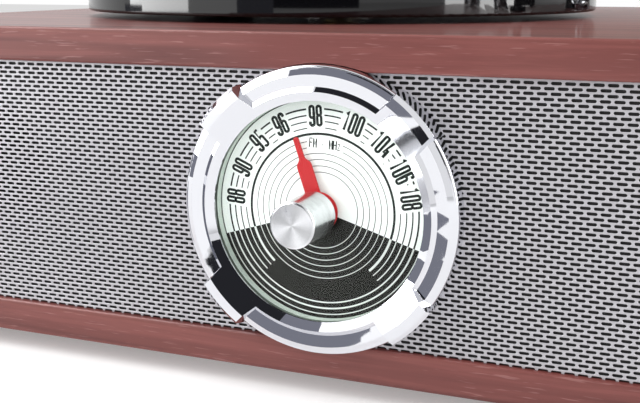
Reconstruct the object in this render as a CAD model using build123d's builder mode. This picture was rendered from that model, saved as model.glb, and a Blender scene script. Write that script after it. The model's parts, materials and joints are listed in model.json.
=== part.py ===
"""Tabletop turntable with a built-in radio: wooden cabinet, slotted grille, chrome tuning dial.

Millimetres. X runs to the right, Y to the back and Z up. The origin lies on the table, under the
middle of the whole outline with its lid open.
"""
import os
from math import cos, radians, sin, sqrt

from build123d import *

os.makedirs("parts", exist_ok=True)

# Cabinet boards
cabinet_width = 430.0
cabinet_depth = 330.0
board = 12.0
opening_height = 89.0
edge_round = 0.9
grille_setback = 2.0
grille_sheet = 0.8
baffle_thickness = 8.0
back_thickness = 4.0
back_recess = 4.0
fit_gap = 0.2
vent_length = 34.0
vent_width = 4.0
vent_pitch = 9.0
back_screw_inset = 9.0

# Feet
foot_height = 7.0
foot_radius = 16.0
foot_taper = 2.0
foot_inset = 34.0
wood_screw_radius = 2.0
wood_screw_length = 9.0
screw_head_radius = 3.6
screw_head_height = 2.4
screw_head_taper = 20.0
foot_well_radius = 5.0

# Tuning dial, measured forward from the grille's face
dial_face_height = 0.6
dial_plate_thickness = 1.0
dial_plate_radius = 37.4
pointer_gap = 1.6
pointer_thickness = 0.8
pointer_length = 24.8
pointer_tip_width = 1.8
pointer_root_width = 5.0
pointer_neck = 18.4
pointer_shoulder = 15.2
pointer_hub_radius = 6.4
pointer_tip_round = 0.7
pointer_angle = 109.0
glass_gap = 0.4
glass_thickness = 2.4
bezel_radius = 46.9
bezel_height = 10.2
bezel_opening = 35.8
bezel_lip = 0.6
bezel_cone_radius = 38.7
bezel_band_radius = 40.2
bezel_step = 1.25
bezel_band_rise = 0.7
bezel_facet_radius = 44.0
bezel_facet_width = 1.8
bezel_facet_drop = 1.0
bezel_edge_drop = 1.1
tab_half_width = 8.1
tab_draft = 1.3
tab_crest_radius = 43.4
tab_reach = 0.9
tab_edge = 1.3
housing_wall = 2.0
housing_depth = 22.0
housing_flange = 6.0
spacer_wall = 1.3
bezel_screw_radius = 1.5

# Tuning knob, its shaft and the tuning capacitor
knob_radius = 7.4
knob_length = 17.3
knob_gap = 1.0
knob_edge = 0.6
shaft_radius = 3.0
shaft_in_knob = 12.0
mark_width = 0.7
mark_depth = 0.4
mark_length = 2.2
mark_inset = 0.7
gang_width = 24.0
gang_depth = 14.0
running_gap = 0.05

# Loudspeakers
speaker_inset = 75.0
speaker_radius = 38.0
speaker_flange = 2.5
speaker_depth = 30.0
cone_radius = 31.0
cone_throat = 10.3
cone_sheet = 0.8
magnet_radius = 22.5
magnet_depth = 12.0

# Platter and its drive
platter_x = -55.0
platter_back = 160.0
platter_radius = 115.0
platter_gap = 2.5
platter_height = 11.5
platter_rim = 3.5
platter_round = 1.2
platter_plate = 3.0
platter_lip = 2.5
platter_lip_height = 0.8
mat_thickness = 2.8
mat_rim = 9.0
label_radius = 51.0
label_dip = 0.8
bearing_radius = 20.0
bearing_plate = 2.0
boss_rise = 1.0
thrust_gap = 0.1
bearing_nut_radius = 8.0
nut_thickness = 4.0
nut_clear = 8.0
bush_radius = 8.0
bearing_shaft_radius = 4.5
spindle_radius = 3.55
spindle_rise = 11.0
spindle_round = 2.13
belt_ring_radius = 83.0
belt_ring_wall = 3.0
belt_ring_gap = 4.5
belt_width = 4.0
belt_thickness = 0.6
belt_rise = 0.3
belt_inset = 0.15
pulley_radius = 5.5
pulley_spacing = 94.0
pulley_angle = 135.0
pulley_flange = 1.2
motor_radius = 17.5
motor_height = 24.0
motor_plate = 1.5
motor_plate_radius = 27.0
motor_edge = 1.5
motor_shaft_radius = 1.0

# Tonearm
arm_x = 118.0
arm_back = 240.0
arm_height = 31.0
effective_length = 205.0
head_offset = 24.0
stylus_reach = 35.0
record_height = 2.0
tube_radius = 4.0
tube_wall = 0.8
tube_tail = 44.0
base_radius = 30.0
base_height = 5.0
base_round = 2.0
pillar_sweep = 3.0
pillar_radius = 11.0
pillar_height = 18.0
turret_stem_radius = 4.0
turret_stem_below = 1.5
turret_radius = 12.5
turret_plate = 3.0
ear_thickness = 3.0
block_width = 13.0
block_length = 20.0
block_height = 13.0
block_corner = 2.6
pivot_radius = 1.5
head_width = 18.0
head_length = 45.0
head_thickness = 5.0
head_root = 2.0
head_corner = 3.0
head_taper = 15.0
finger_length = 12.0
finger_width = 2.6
finger_thickness = 1.2
finger_inset = 8.0
finger_overlap = 1.0
collar_radius = 5.6
collar_length = 14.0
cartridge_width = 13.0
cartridge_length = 24.0
cartridge_height = 7.6
cartridge_edge = 1.5
cartridge_ahead = 6.0
stylus_top_radius = 1.2
stylus_tip_radius = 0.2
weight_radius = 13.5
weight_length = 20.0
weight_edge = 1.0
weight_back = 32.0
arm_rest_reach = 128.0
arm_rest_width = 9.0
arm_rest_wall = 3.0
arm_rest_gap = 0.3
cue_radius = 38.0
cue_stem_angle = 14.0
cue_sweep = 52.0
cue_bar = 4.0
cue_bar_height = 3.0
cue_drop = 0.4
cue_stem_radius = 2.5
cue_guide_radius = 6.5
cue_guide_height = 19.0
cue_stem_rise = 3.5
cue_lever_height = 11.0
cue_lever_length = 30.0
cue_lever_width = 5.0
cue_lever_hub = 3.9
cue_pin_radius = 1.5

# Controls on the deck
control_inset = 34.0
volume_back = 45.0
selector_back = 92.0
speed_back = 150.0
control_radius = 12.0
control_height = 14.0
control_lift = 0.8
control_shaft_radius = 3.0
control_bore = 9.8
control_mark_length = 4.8
control_body_radius = 9.0
control_body_height = 11.0
lever_length = 20.0
lever_width = 6.0
lever_height = 7.0
lever_hub_radius = 7.2
lever_edge = 1.0
adapter_radius = 19.0
adapter_height = 6.0
adapter_edge_width = 2.0
adapter_edge_height = 1.0
adapter_dish_radius = 11.4
adapter_dish_slope = 1.0
adapter_floor = 3.6
adapter_recess = 1.5
adapter_inset = 30.0
adapter_back = 291.0

# Dust cover and its hinges
lid_side_inset = 2.0
lid_front_inset = 3.0
lid_rear_inset = 14.0
lid_height = 66.0
lid_gap = 2.0
lid_wall = 2.5
lid_corner = 8.0
lid_top_round = 4.0
lid_open = 62.0
bumper_radius = 1.1
bumper_clear = 0.15
hinge_height = 7.0
hinge_behind_lid = 6.0
hinge_inset = 85.0
hinge_pin_radius = 2.0
knuckle_radius = 4.0
knuckle_width = 18.0
knuckle_neck = 6.4
hinge_arm_thickness = 2.0
hinge_arm_height = 28.0
lug_thickness = 5.0
lug_radius = 4.5
lug_gap = 0.3
hinge_plate = 1.5

# Rear fittings
rca_radius = 4.15
rca_length = 9.0
rca_spacing = 18.0
rca_flange = 1.0
rca_bore = 1.6
rca_inset = 95.0
inlet_inset = 75.0
inlet_width = 16.0
inlet_height = 9.5
inlet_depth = 12.0
inlet_wall = 2.5
inlet_pin_radius = 1.2
inlet_pin_length = 9.0
inlet_pin_spacing = 8.6
main_board_width = 150.0
main_board_depth = 90.0
main_board_thickness = 1.6
standoff_height = 8.0
standoff_inset = 8.0
standoff_radius = 3.2
transformer_width = 34.0
component_height = 23.8
capacitor_radius = 6.5
capacitor_pitch = 19.5

# Heights worked out from the sizes above
floor_top = foot_height + board
deck_under = floor_top + opening_height
deck_top = deck_under + board
dial_z = floor_top + opening_height / 2
platter_low = deck_top + platter_gap
platter_top = platter_low + platter_height
mat_low = platter_top - platter_lip_height
mat_top = mat_low + mat_thickness
arm_z = deck_top + arm_height
stylus_tip_z = mat_top + record_height
hinge_z = deck_top + hinge_height
lid_low = deck_top + lid_gap

# Depth: the outline's middle lies at y = 0, from the knob's face to the open lid's rear edge
glass_front = dial_face_height + pointer_gap + pointer_thickness + glass_gap + glass_thickness
knob_rear = glass_front + bezel_lip + knob_gap
knob_front = knob_rear + knob_length
knob_reach = knob_front - grille_setback
hinge_back = cabinet_depth - lid_rear_inset + hinge_behind_lid
lid_tilt = radians(lid_open)
lid_corner_forward = hinge_behind_lid + lid_top_round
lid_corner_up = lid_gap + lid_height - hinge_height - lid_top_round
lid_overhang = lid_corner_up * sin(lid_tilt) - lid_corner_forward * cos(lid_tilt) + lid_top_round
front_y = -(hinge_back + lid_overhang - knob_reach) / 2
grille_y = front_y + grille_setback
back_y = front_y + cabinet_depth
hinge_y = front_y + hinge_back
platter_y = front_y + platter_back
arm_y = front_y + arm_back

inner_width = cabinet_width - 2 * board
baffle_y = grille_y + grille_sheet
baffle_rear = baffle_y + baffle_thickness
back_face = back_y - back_recess
side_gap = fit_gap / 2

# Planes and axes that several pieces share
dial_plane = Plane(origin=(0, grille_y, dial_z), x_dir=(1, 0, 0), z_dir=(0, -1, 0))
dial_section = Plane(origin=(0, grille_y, dial_z), x_dir=(1, 0, 0), z_dir=(0, 0, -1))
dial_axis = Axis((0, grille_y, dial_z), (0, -1, 0))
lid_plane = Plane(origin=(0, hinge_y, hinge_z), x_dir=(1, 0, 0), z_dir=(0, sin(lid_tilt), cos(lid_tilt)))


def upright(x, y, z=0.0):
    """Vertical section plane: local x runs outward and local y runs up."""
    return Plane(origin=(x, y, z), x_dir=(1, 0, 0), z_dir=(0, -1, 0))


def vertical(x, y):
    """Vertical axis through a point of the plan."""
    return Axis((x, y, 0), (0, 0, 1))


def polar(x, y, radius, angle):
    """Point of the plan at a distance and an angle from another."""
    return (x + radius * cos(radians(angle)), y + radius * sin(radians(angle)))


def from_front(angle):
    """Plan angle that is turned from the forward direction towards the platter."""
    return -90 - angle


# Places in plan
cabinet_mid_y = front_y + cabinet_depth / 2
speaker_x = cabinet_width / 2 - speaker_inset
hinge_x = cabinet_width / 2 - hinge_inset
rca_x = rca_inset - cabinet_width / 2
inlet_x = cabinet_width / 2 - inlet_inset
motor_x, motor_y = polar(platter_x, platter_y, pulley_spacing, pulley_angle)
control_x = cabinet_width / 2 - control_inset
volume_y = front_y + volume_back
selector_y = front_y + selector_back
speed_y = front_y + speed_back
adapter_x = -cabinet_width / 2 + adapter_inset
adapter_y = front_y + adapter_back
cue_x, cue_y = polar(arm_x, arm_y, cue_radius, from_front(-cue_stem_angle))
head_side = stylus_reach * sin(radians(head_offset))
head_ahead = stylus_reach * cos(radians(head_offset))
tube_reach = sqrt(effective_length**2 - head_side**2) - head_ahead
elbow_y = arm_y - tube_reach
head_dir = (-sin(radians(head_offset)), -cos(radians(head_offset)), 0)
arm_rest_y = arm_y - arm_rest_reach

# Cabinet boards: the deck carries everything that plays, and is drilled for it
with BuildPart() as deck_board:
    with BuildSketch(Plane.XY.offset(deck_under)):
        with Locations((0, cabinet_mid_y)):
            Rectangle(cabinet_width, cabinet_depth)
    extrude(amount=board)
    front_edges = deck_board.edges().filter_by(Axis.X).group_by(Axis.Y)[0]
    side_edges = deck_board.edges().filter_by(Axis.Y).group_by(Axis.Z)[-1]
    fillet(front_edges + side_edges, radius=edge_round)
    with BuildSketch(Plane.XY.offset(deck_top)):
        with Locations((platter_x, platter_y)):
            Circle(bearing_shaft_radius + fit_gap)
        with Locations((motor_x, motor_y)):
            Circle(pulley_radius + pulley_flange + 2 * fit_gap)
        with Locations((arm_x, arm_y)):
            Circle(turret_stem_radius + fit_gap)
        with Locations((control_x, volume_y), (control_x, selector_y), (control_x, speed_y)):
            Circle(control_shaft_radius + fit_gap)
    extrude(amount=-board, mode=Mode.SUBTRACT)
    with BuildSketch(Plane.XY.offset(deck_top)):
        with Locations((adapter_x, adapter_y)):
            Circle(adapter_radius + 2 * fit_gap)
    extrude(amount=-adapter_recess, mode=Mode.SUBTRACT)
    with BuildSketch(Plane.XY.offset(deck_under)):
        with Locations((motor_x, motor_y)):
            with GridLocations(motor_radius + motor_plate_radius, 0, 2, 1):
                Circle(wood_screw_radius)
    extrude(amount=wood_screw_length, mode=Mode.SUBTRACT)
    with BuildSketch(dial_plane):
        Circle(bezel_radius + fit_gap)
    extrude(amount=2 * grille_setback, mode=Mode.SUBTRACT)
deck_board.part.label = "deck_board"
export_step(deck_board.part, "parts/deck_board.step")

foot_x = cabinet_width / 2 - foot_inset
foot_y = cabinet_depth / 2 - foot_inset
foot_places = [(sx * foot_x, cabinet_mid_y + sy * foot_y) for sx in (-1, 1) for sy in (-1, 1)]
with BuildPart() as bottom_board:
    with BuildSketch(Plane.XY.offset(foot_height)):
        with Locations((0, cabinet_mid_y)):
            Rectangle(cabinet_width, cabinet_depth)
    extrude(amount=board)
    fillet(bottom_board.edges().filter_by(Axis.X).group_by(Axis.Y)[0], radius=edge_round)
    with BuildSketch(Plane.XY.offset(foot_height)):
        with Locations(*foot_places):
            Circle(wood_screw_radius)
    extrude(amount=wood_screw_length, mode=Mode.SUBTRACT)
    with BuildSketch(dial_plane):
        Circle(bezel_radius + fit_gap)
    extrude(amount=2 * grille_setback, mode=Mode.SUBTRACT)
bottom_board.part.label = "bottom_board"
export_step(bottom_board.part, "parts/bottom_board.step")

side_x = (cabinet_width - board) / 2
with BuildPart() as left_side:
    with BuildSketch(Plane.XY.offset(floor_top)):
        with Locations((-side_x, cabinet_mid_y)):
            Rectangle(board, cabinet_depth)
    extrude(amount=opening_height)
left_side.part.label = "left_side"
export_step(left_side.part, "parts/left_side.step")

with BuildPart() as right_side:
    with BuildSketch(Plane.XY.offset(floor_top)):
        with Locations((side_x, cabinet_mid_y)):
            Rectangle(board, cabinet_depth)
    extrude(amount=opening_height)
right_side.part.label = "right_side"
export_step(right_side.part, "parts/right_side.step")

# Front: black baffle with the sheet grille on its face, both cut out for the dial
bezel_screw_ring = tab_crest_radius
housing_radius = bezel_screw_ring - 2 * bezel_screw_radius - 2 * fit_gap
with BuildPart() as front_baffle:
    with BuildSketch(dial_plane.offset(-grille_sheet)):
        Rectangle(inner_width - 2 * side_gap, opening_height - 2 * side_gap)
        Circle(housing_radius + fit_gap, mode=Mode.SUBTRACT)
        with Locations((-speaker_x, 0), (speaker_x, 0)):
            Circle(cone_radius + speaker_flange, mode=Mode.SUBTRACT)
        with PolarLocations(bezel_screw_ring, 4, start_angle=45):
            Circle(bezel_screw_radius, mode=Mode.SUBTRACT)
    extrude(amount=-baffle_thickness)
front_baffle.part.label = "front_baffle"
export_step(front_baffle.part, "parts/front_baffle.step")

with BuildPart() as speaker_grille:
    with BuildSketch(dial_plane):
        Rectangle(inner_width - 2 * side_gap, opening_height - 2 * side_gap)
        Circle(housing_radius + fit_gap, mode=Mode.SUBTRACT)
        with PolarLocations(bezel_screw_ring, 4, start_angle=45):
            Circle(bezel_screw_radius, mode=Mode.SUBTRACT)
    extrude(amount=-grille_sheet)
speaker_grille.part.label = "speaker_grille"
export_step(speaker_grille.part, "parts/speaker_grille.step")

# Back panel, let into the boards, with vents and the cut-outs for the sockets
back_plane = Plane(origin=(0, back_face, dial_z), x_dir=(-1, 0, 0), z_dir=(0, 1, 0))
back_screw_x = inner_width / 2 - back_screw_inset
back_screw_z = opening_height / 2 - back_screw_inset
socket_z = -opening_height / 4
with BuildPart() as back_panel:
    with BuildSketch(back_plane):
        Rectangle(inner_width - 2 * side_gap, opening_height - 2 * side_gap)
        with GridLocations(vent_length + vent_pitch, vent_pitch, 3, 3):
            SlotOverall(vent_length, vent_width, mode=Mode.SUBTRACT)
        with Locations((-rca_x, socket_z)):
            with GridLocations(rca_spacing, 0, 2, 1):
                Circle(rca_radius - fit_gap, mode=Mode.SUBTRACT)
        with Locations((-inlet_x, socket_z)):
            Rectangle(inlet_width + 2 * inlet_wall, inlet_height + 2 * inlet_wall, mode=Mode.SUBTRACT)
        with GridLocations(2 * back_screw_x, 2 * back_screw_z, 2, 2):
            Circle(wood_screw_radius, mode=Mode.SUBTRACT)
    extrude(amount=-back_thickness)
back_panel.part.label = "back_panel"
export_step(back_panel.part, "parts/back_panel.step")

# Battens in the corners take the back panel's screws
batten = 2 * back_screw_inset
with BuildPart() as back_battens:
    with BuildSketch(back_plane.offset(-back_thickness)):
        with GridLocations(inner_width - batten, 0, 2, 1):
            Rectangle(batten, opening_height)
        with GridLocations(2 * back_screw_x, 2 * back_screw_z, 2, 2):
            Circle(wood_screw_radius, mode=Mode.SUBTRACT)
    extrude(amount=-batten)
back_battens.part.label = "back_battens"
export_step(back_battens.part, "parts/back_battens.step")

# Rubber feet, each held by a screw sunk into it
foot_web = foot_height / 2
from_below = (Align.CENTER, Align.CENTER, Align.MIN)
with BuildPart() as feet:
    with Locations(*[(x, y, 0) for x, y in foot_places]):
        Cone(foot_radius - foot_taper, foot_radius, foot_height, align=from_below)
        Cylinder(wood_screw_radius, foot_height, align=from_below, mode=Mode.SUBTRACT)
        Cylinder(foot_well_radius, foot_web, align=from_below, mode=Mode.SUBTRACT)
feet.part.label = "feet"
export_step(feet.part, "parts/feet.step")

# Wood screws hold the feet, the back panel and the motor plate
foot_shank = foot_height - foot_web + wood_screw_length
motor_shank = motor_plate + wood_screw_length - fit_gap
motor_face = deck_under - motor_plate
with BuildPart() as wood_screws:
    with Locations(*[(x, y, foot_web) for x, y in foot_places]):
        Cylinder(wood_screw_radius, foot_shank, align=from_below)
    with Locations(*[(x, y, foot_web - screw_head_height) for x, y in foot_places]):
        Cylinder(screw_head_radius, screw_head_height, align=from_below)
    with BuildSketch(back_plane):
        with GridLocations(2 * back_screw_x, 2 * back_screw_z, 2, 2):
            Circle(wood_screw_radius)
    extrude(amount=-back_thickness - wood_screw_length)
    with BuildSketch(back_plane):
        with GridLocations(2 * back_screw_x, 2 * back_screw_z, 2, 2):
            Circle(screw_head_radius)
    extrude(amount=screw_head_height, taper=screw_head_taper)
    with Locations((motor_x, motor_y, motor_face)):
        with GridLocations(motor_radius + motor_plate_radius, 0, 2, 1):
            Cylinder(wood_screw_radius, motor_shank, align=from_below)
    with Locations((motor_x, motor_y, motor_face - screw_head_height)):
        with GridLocations(motor_radius + motor_plate_radius, 0, 2, 1):
            Cylinder(screw_head_radius, screw_head_height, align=from_below)
wood_screws.part.label = "wood_screws"
export_step(wood_screws.part, "parts/wood_screws.step")

# Loudspeakers behind the baffle
speaker_section = Plane(origin=(speaker_x, baffle_rear, dial_z), x_dir=(1, 0, 0), z_dir=(0, 0, 1))
speaker_axis = Axis((speaker_x, baffle_rear, dial_z), (0, 1, 0))
basket_throat = magnet_radius - speaker_flange
with BuildPart() as speaker_frames:
    with BuildSketch(speaker_section):
        with BuildLine():
            Polyline(
                (cone_radius + speaker_flange, 0),
                (speaker_radius, 0),
                (speaker_radius, speaker_flange),
                (cone_radius + 2 * speaker_flange, speaker_flange),
                (magnet_radius, speaker_depth),
                (cone_throat, speaker_depth),
                (cone_throat, speaker_depth - speaker_flange),
                (basket_throat, speaker_depth - speaker_flange),
                close=True,
            )
        make_face()
    revolve(axis=speaker_axis)
    mirror(about=Plane.YZ)
speaker_frames.part.label = "speaker_frames"
export_step(speaker_frames.part, "parts/speaker_frames.step")

cone_depth = speaker_depth - 2 * speaker_flange - cone_sheet
with BuildPart() as speaker_cones:
    with BuildSketch(speaker_section):
        with BuildLine():
            Polyline(
                (cone_radius + speaker_flange, 0),
                (cone_radius + speaker_flange, -cone_sheet),
                (cone_radius, -cone_sheet),
                (cone_throat, cone_depth),
                (0, cone_depth - speaker_flange),
                (0, cone_depth - speaker_flange + cone_sheet),
                (cone_throat, cone_depth + cone_sheet),
                (cone_radius - cone_sheet, cone_sheet),
                (cone_radius + speaker_flange - cone_sheet, cone_sheet),
                close=True,
            )
        make_face()
    revolve(axis=speaker_axis)
    mirror(about=Plane.YZ)
speaker_cones.part.label = "speaker_cones"
export_step(speaker_cones.part, "parts/speaker_cones.step")

speaker_rear = dial_plane.offset(-grille_sheet - baffle_thickness - speaker_depth)
with BuildPart() as speaker_magnets:
    with BuildSketch(speaker_rear):
        with Locations((-speaker_x, 0), (speaker_x, 0)):
            Circle(magnet_radius)
    extrude(amount=-magnet_depth)
    chamfer(speaker_magnets.edges().group_by(Axis.Y)[-1], length=speaker_flange / 2)
speaker_magnets.part.label = "speaker_magnets"
export_step(speaker_magnets.part, "parts/speaker_magnets.step")

# Dial: housing through the baffle, printed plate, glass and the chrome bezel with its four tabs
plate_rear = dial_face_height - dial_plate_thickness
flange_front = -grille_sheet - baffle_thickness
with BuildPart() as dial_housing:
    with BuildSketch(dial_plane.offset(plate_rear)):
        Circle(housing_radius)
    extrude(amount=-housing_depth)
    with BuildSketch(dial_plane.offset(flange_front)):
        Circle(bezel_radius + housing_flange)
        Rectangle(4 * bezel_radius, opening_height - 2 * side_gap, mode=Mode.INTERSECT)
        with PolarLocations(bezel_screw_ring, 4, start_angle=45):
            Circle(bezel_screw_radius, mode=Mode.SUBTRACT)
    extrude(amount=-housing_wall)
    with BuildSketch(dial_plane.offset(plate_rear - housing_wall)):
        Circle(housing_radius - housing_wall)
    extrude(amount=-housing_depth, mode=Mode.SUBTRACT)
    with BuildSketch(dial_plane.offset(plate_rear)):
        Circle(shaft_radius + fit_gap)
    extrude(amount=-housing_wall, mode=Mode.SUBTRACT)
dial_housing.part.label = "dial_housing"
export_step(dial_housing.part, "parts/dial_housing.step")

with BuildPart() as dial_plate:
    with BuildSketch(dial_plane.offset(plate_rear)):
        Circle(dial_plate_radius)
        Circle(shaft_radius + fit_gap, mode=Mode.SUBTRACT)
    extrude(amount=dial_plate_thickness)
dial_plate.part.label = "dial_plate"
export_step(dial_plate.part, "parts/dial_plate.step")

glass_rear = glass_front - glass_thickness
with BuildPart() as dial_glass:
    with BuildSketch(dial_plane.offset(glass_rear)):
        Circle(dial_plate_radius)
        Circle(shaft_radius + 2 * fit_gap, mode=Mode.SUBTRACT)
    extrude(amount=glass_thickness)
dial_glass.part.label = "dial_glass"
export_step(dial_glass.part, "parts/dial_glass.step")

with BuildPart() as dial_spacer:
    with BuildSketch(dial_plane.offset(dial_face_height)):
        Circle(dial_plate_radius)
        Circle(dial_plate_radius - spacer_wall, mode=Mode.SUBTRACT)
    extrude(amount=glass_rear - dial_face_height)
dial_spacer.part.label = "dial_spacer"
export_step(dial_spacer.part, "parts/dial_spacer.step")

lip_front = glass_front + bezel_lip
cone_slope = (bezel_height - lip_front) / (tab_crest_radius - bezel_opening)
cone_front = lip_front + cone_slope * (bezel_cone_radius - bezel_opening)
band_front = cone_front - bezel_step
facet_end = bezel_facet_radius + bezel_facet_width
band_edge = band_front + bezel_band_rise
facet_front = band_edge - bezel_facet_drop
edge_front = facet_front - bezel_edge_drop
edge_curve = 1.1 * max(bezel_radius - facet_end, bezel_edge_drop)
tab_radius = bezel_radius + tab_reach
tab_foot = tab_half_width + tab_draft
with BuildPart() as tab_blank:
    with BuildSketch(dial_section):
        with BuildLine():
            Polyline(
                (bezel_cone_radius, 0),
                (tab_radius, 0),
                (tab_radius, bezel_height - tab_edge),
                (tab_radius - tab_edge, bezel_height),
                (tab_crest_radius, bezel_height),
                (bezel_cone_radius, cone_front),
                close=True,
            )
        make_face()
    revolve(axis=dial_axis)

# Each tab's side walls lean inward from the band up to its face
with BuildPart() as tab_bars:
    for tab_angle in (45, 135):
        along_x = (cos(radians(tab_angle)), 0, sin(radians(tab_angle)))
        across_x = (-sin(radians(tab_angle)), 0, cos(radians(tab_angle)))
        with BuildSketch(Plane(origin=(0, grille_y, dial_z), x_dir=across_x, z_dir=along_x)):
            with BuildLine():
                Polyline(
                    (-tab_foot, 0),
                    (-tab_foot, edge_front),
                    (-tab_half_width, bezel_height),
                    (tab_half_width, bezel_height),
                    (tab_foot, edge_front),
                    (tab_foot, 0),
                    close=True,
                )
            make_face()
        extrude(amount=2 * bezel_radius, both=True)
    add(tab_blank.part, mode=Mode.INTERSECT)

with BuildPart() as dial_bezel:
    with BuildSketch(dial_section):
        with BuildLine():
            Polyline(
                (dial_plate_radius, 0),
                (dial_plate_radius, glass_front),
                (bezel_opening, glass_front),
                (bezel_opening, lip_front),
                (bezel_cone_radius, cone_front),
                (bezel_band_radius, band_front),
                (bezel_facet_radius, band_edge),
                (facet_end, facet_front),
            )
            RadiusArc((facet_end, facet_front), (bezel_radius, edge_front), edge_curve)
            Polyline((bezel_radius, edge_front), (bezel_radius, 0), (dial_plate_radius, 0))
        make_face()
    revolve(axis=dial_axis)
    add(tab_bars.part)
    with BuildSketch(dial_plane):
        with PolarLocations(bezel_screw_ring, 4, start_angle=45):
            Circle(bezel_screw_radius)
    extrude(amount=edge_front, mode=Mode.SUBTRACT)
dial_bezel.part.label = "dial_bezel"
export_step(dial_bezel.part, "parts/dial_bezel.step")

# Screws from behind hold the bezel, with the grille and baffle clamped between
screw_start = flange_front - housing_wall
with BuildPart() as bezel_screws:
    with BuildSketch(dial_plane.offset(screw_start)):
        with PolarLocations(bezel_screw_ring, 4, start_angle=45):
            Circle(bezel_screw_radius)
    extrude(amount=edge_front - screw_start)
    with BuildSketch(dial_plane.offset(screw_start)):
        with PolarLocations(bezel_screw_ring, 4, start_angle=45):
            Circle(2 * bezel_screw_radius)
    extrude(amount=-screw_head_height)
bezel_screws.part.label = "bezel_screws"
export_step(bezel_screws.part, "parts/bezel_screws.step")

# Tuning capacitor on the housing's rear face, and the shaft that turns pointer and knob with it
gang_front = plate_rear - housing_wall
shaft_rear = gang_front - gang_depth + housing_wall
with BuildPart() as tuning_gang:
    with BuildSketch(dial_plane.offset(gang_front)):
        RectangleRounded(gang_width, gang_width, housing_wall)
    extrude(amount=-gang_depth)
    with BuildSketch(dial_plane.offset(gang_front)):
        Circle(shaft_radius + running_gap)
    extrude(amount=shaft_rear - gang_front - running_gap, mode=Mode.SUBTRACT)
tuning_gang.part.label = "tuning_gang"
export_step(tuning_gang.part, "parts/tuning_gang.step")

knob_bore_end = knob_rear + shaft_in_knob
with BuildPart() as tuning_shaft:
    with BuildSketch(dial_plane.offset(shaft_rear)):
        Circle(shaft_radius)
    extrude(amount=knob_bore_end - shaft_rear)
tuning_shaft.part.label = "tuning_shaft"
export_step(tuning_shaft.part, "parts/tuning_shaft.step")

# Bottle-shaped pointer: hub, parallel root, curved shoulders and a narrow tip
pointer_low = dial_face_height + pointer_gap
pointer_dir = (cos(radians(pointer_angle)), 0, sin(radians(pointer_angle)))
pointer_face = Plane(origin=(0, grille_y, dial_z), x_dir=pointer_dir, z_dir=(0, -1, 0))
pointer_plane = pointer_face.offset(pointer_low)
root = pointer_root_width / 2
tip = pointer_tip_width / 2
tip_start = pointer_length - pointer_tip_round
bend = (pointer_neck + pointer_shoulder) / 2
with BuildPart() as pointer:
    with BuildSketch(pointer_plane):
        Circle(pointer_hub_radius)
        with BuildLine():
            Line((pointer_neck, tip), (tip_start, tip))
            ThreePointArc((tip_start, tip), (pointer_length, 0), (tip_start, -tip))
            Line((tip_start, -tip), (pointer_neck, -tip))
            Bezier((pointer_neck, -tip), (bend, -tip), (bend, -root), (pointer_shoulder, -root))
            Polyline((pointer_shoulder, -root), (0, -root), (0, root), (pointer_shoulder, root))
            Bezier((pointer_shoulder, root), (bend, root), (bend, tip), (pointer_neck, tip))
        make_face()
        Circle(shaft_radius, mode=Mode.SUBTRACT)
    extrude(amount=pointer_thickness)
pointer.part.label = "pointer"
export_step(pointer.part, "parts/pointer.step")

# Turned tuning knob with a short line cut in its face
mark_middle = knob_radius - mark_inset - mark_length / 2
with BuildPart() as tuning_knob:
    with BuildSketch(dial_plane.offset(knob_rear)):
        Circle(knob_radius)
    extrude(amount=knob_length)
    chamfer(tuning_knob.edges().group_by(Axis.Y)[0], length=knob_edge)
    with BuildSketch(dial_plane.offset(knob_rear)):
        Circle(shaft_radius)
    extrude(amount=shaft_in_knob, mode=Mode.SUBTRACT)
    with BuildSketch(pointer_plane.offset(knob_front - pointer_low)):
        with Locations((mark_middle, 0)):
            SlotOverall(mark_length, mark_width)
    extrude(amount=-mark_depth, mode=Mode.SUBTRACT)
tuning_knob.part.label = "tuning_knob"
export_step(tuning_knob.part, "parts/tuning_knob.step")

# Bearing plate and fixed spindle: the steel spindle is pressed into the plate and stands still
boss_height = bearing_plate + boss_rise
spindle_top = mat_top + spindle_rise
spindle_low = deck_under - nut_clear - nut_thickness
with BuildPart() as platter_bearing:
    with BuildSketch(upright(platter_x, platter_y, deck_top)):
        with BuildLine():
            Polyline(
                (bearing_shaft_radius, 0),
                (bearing_radius, 0),
                (bearing_radius, bearing_plate),
                (bush_radius, bearing_plate),
                (bush_radius, boss_height),
                (bearing_shaft_radius, boss_height),
                close=True,
            )
        make_face()
    revolve(axis=vertical(platter_x, platter_y))
platter_bearing.part.label = "platter_bearing"
export_step(platter_bearing.part, "parts/platter_bearing.step")

label_z = mat_top - label_dip
with BuildPart() as spindle:
    with BuildSketch(Plane.XY.offset(spindle_low)):
        with Locations((platter_x, platter_y)):
            Circle(bearing_shaft_radius)
    extrude(amount=label_z - spindle_low)
    with BuildSketch(Plane.XY.offset(label_z)):
        with Locations((platter_x, platter_y)):
            Circle(spindle_radius)
    extrude(amount=spindle_top - label_z)
    fillet(spindle.edges().group_by(Axis.Z)[-1], radius=spindle_round)
spindle.part.label = "spindle"
export_step(spindle.part, "parts/spindle.step")

with BuildPart() as spindle_nut:
    with BuildSketch(Plane.XY.offset(deck_under - nut_thickness)):
        with Locations((platter_x, platter_y)):
            RegularPolygon(bearing_nut_radius, 6)
            Circle(bearing_shaft_radius, mode=Mode.SUBTRACT)
    extrude(amount=nut_thickness)
spindle_nut.part.label = "spindle_nut"
export_step(spindle_nut.part, "parts/spindle_nut.step")

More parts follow.
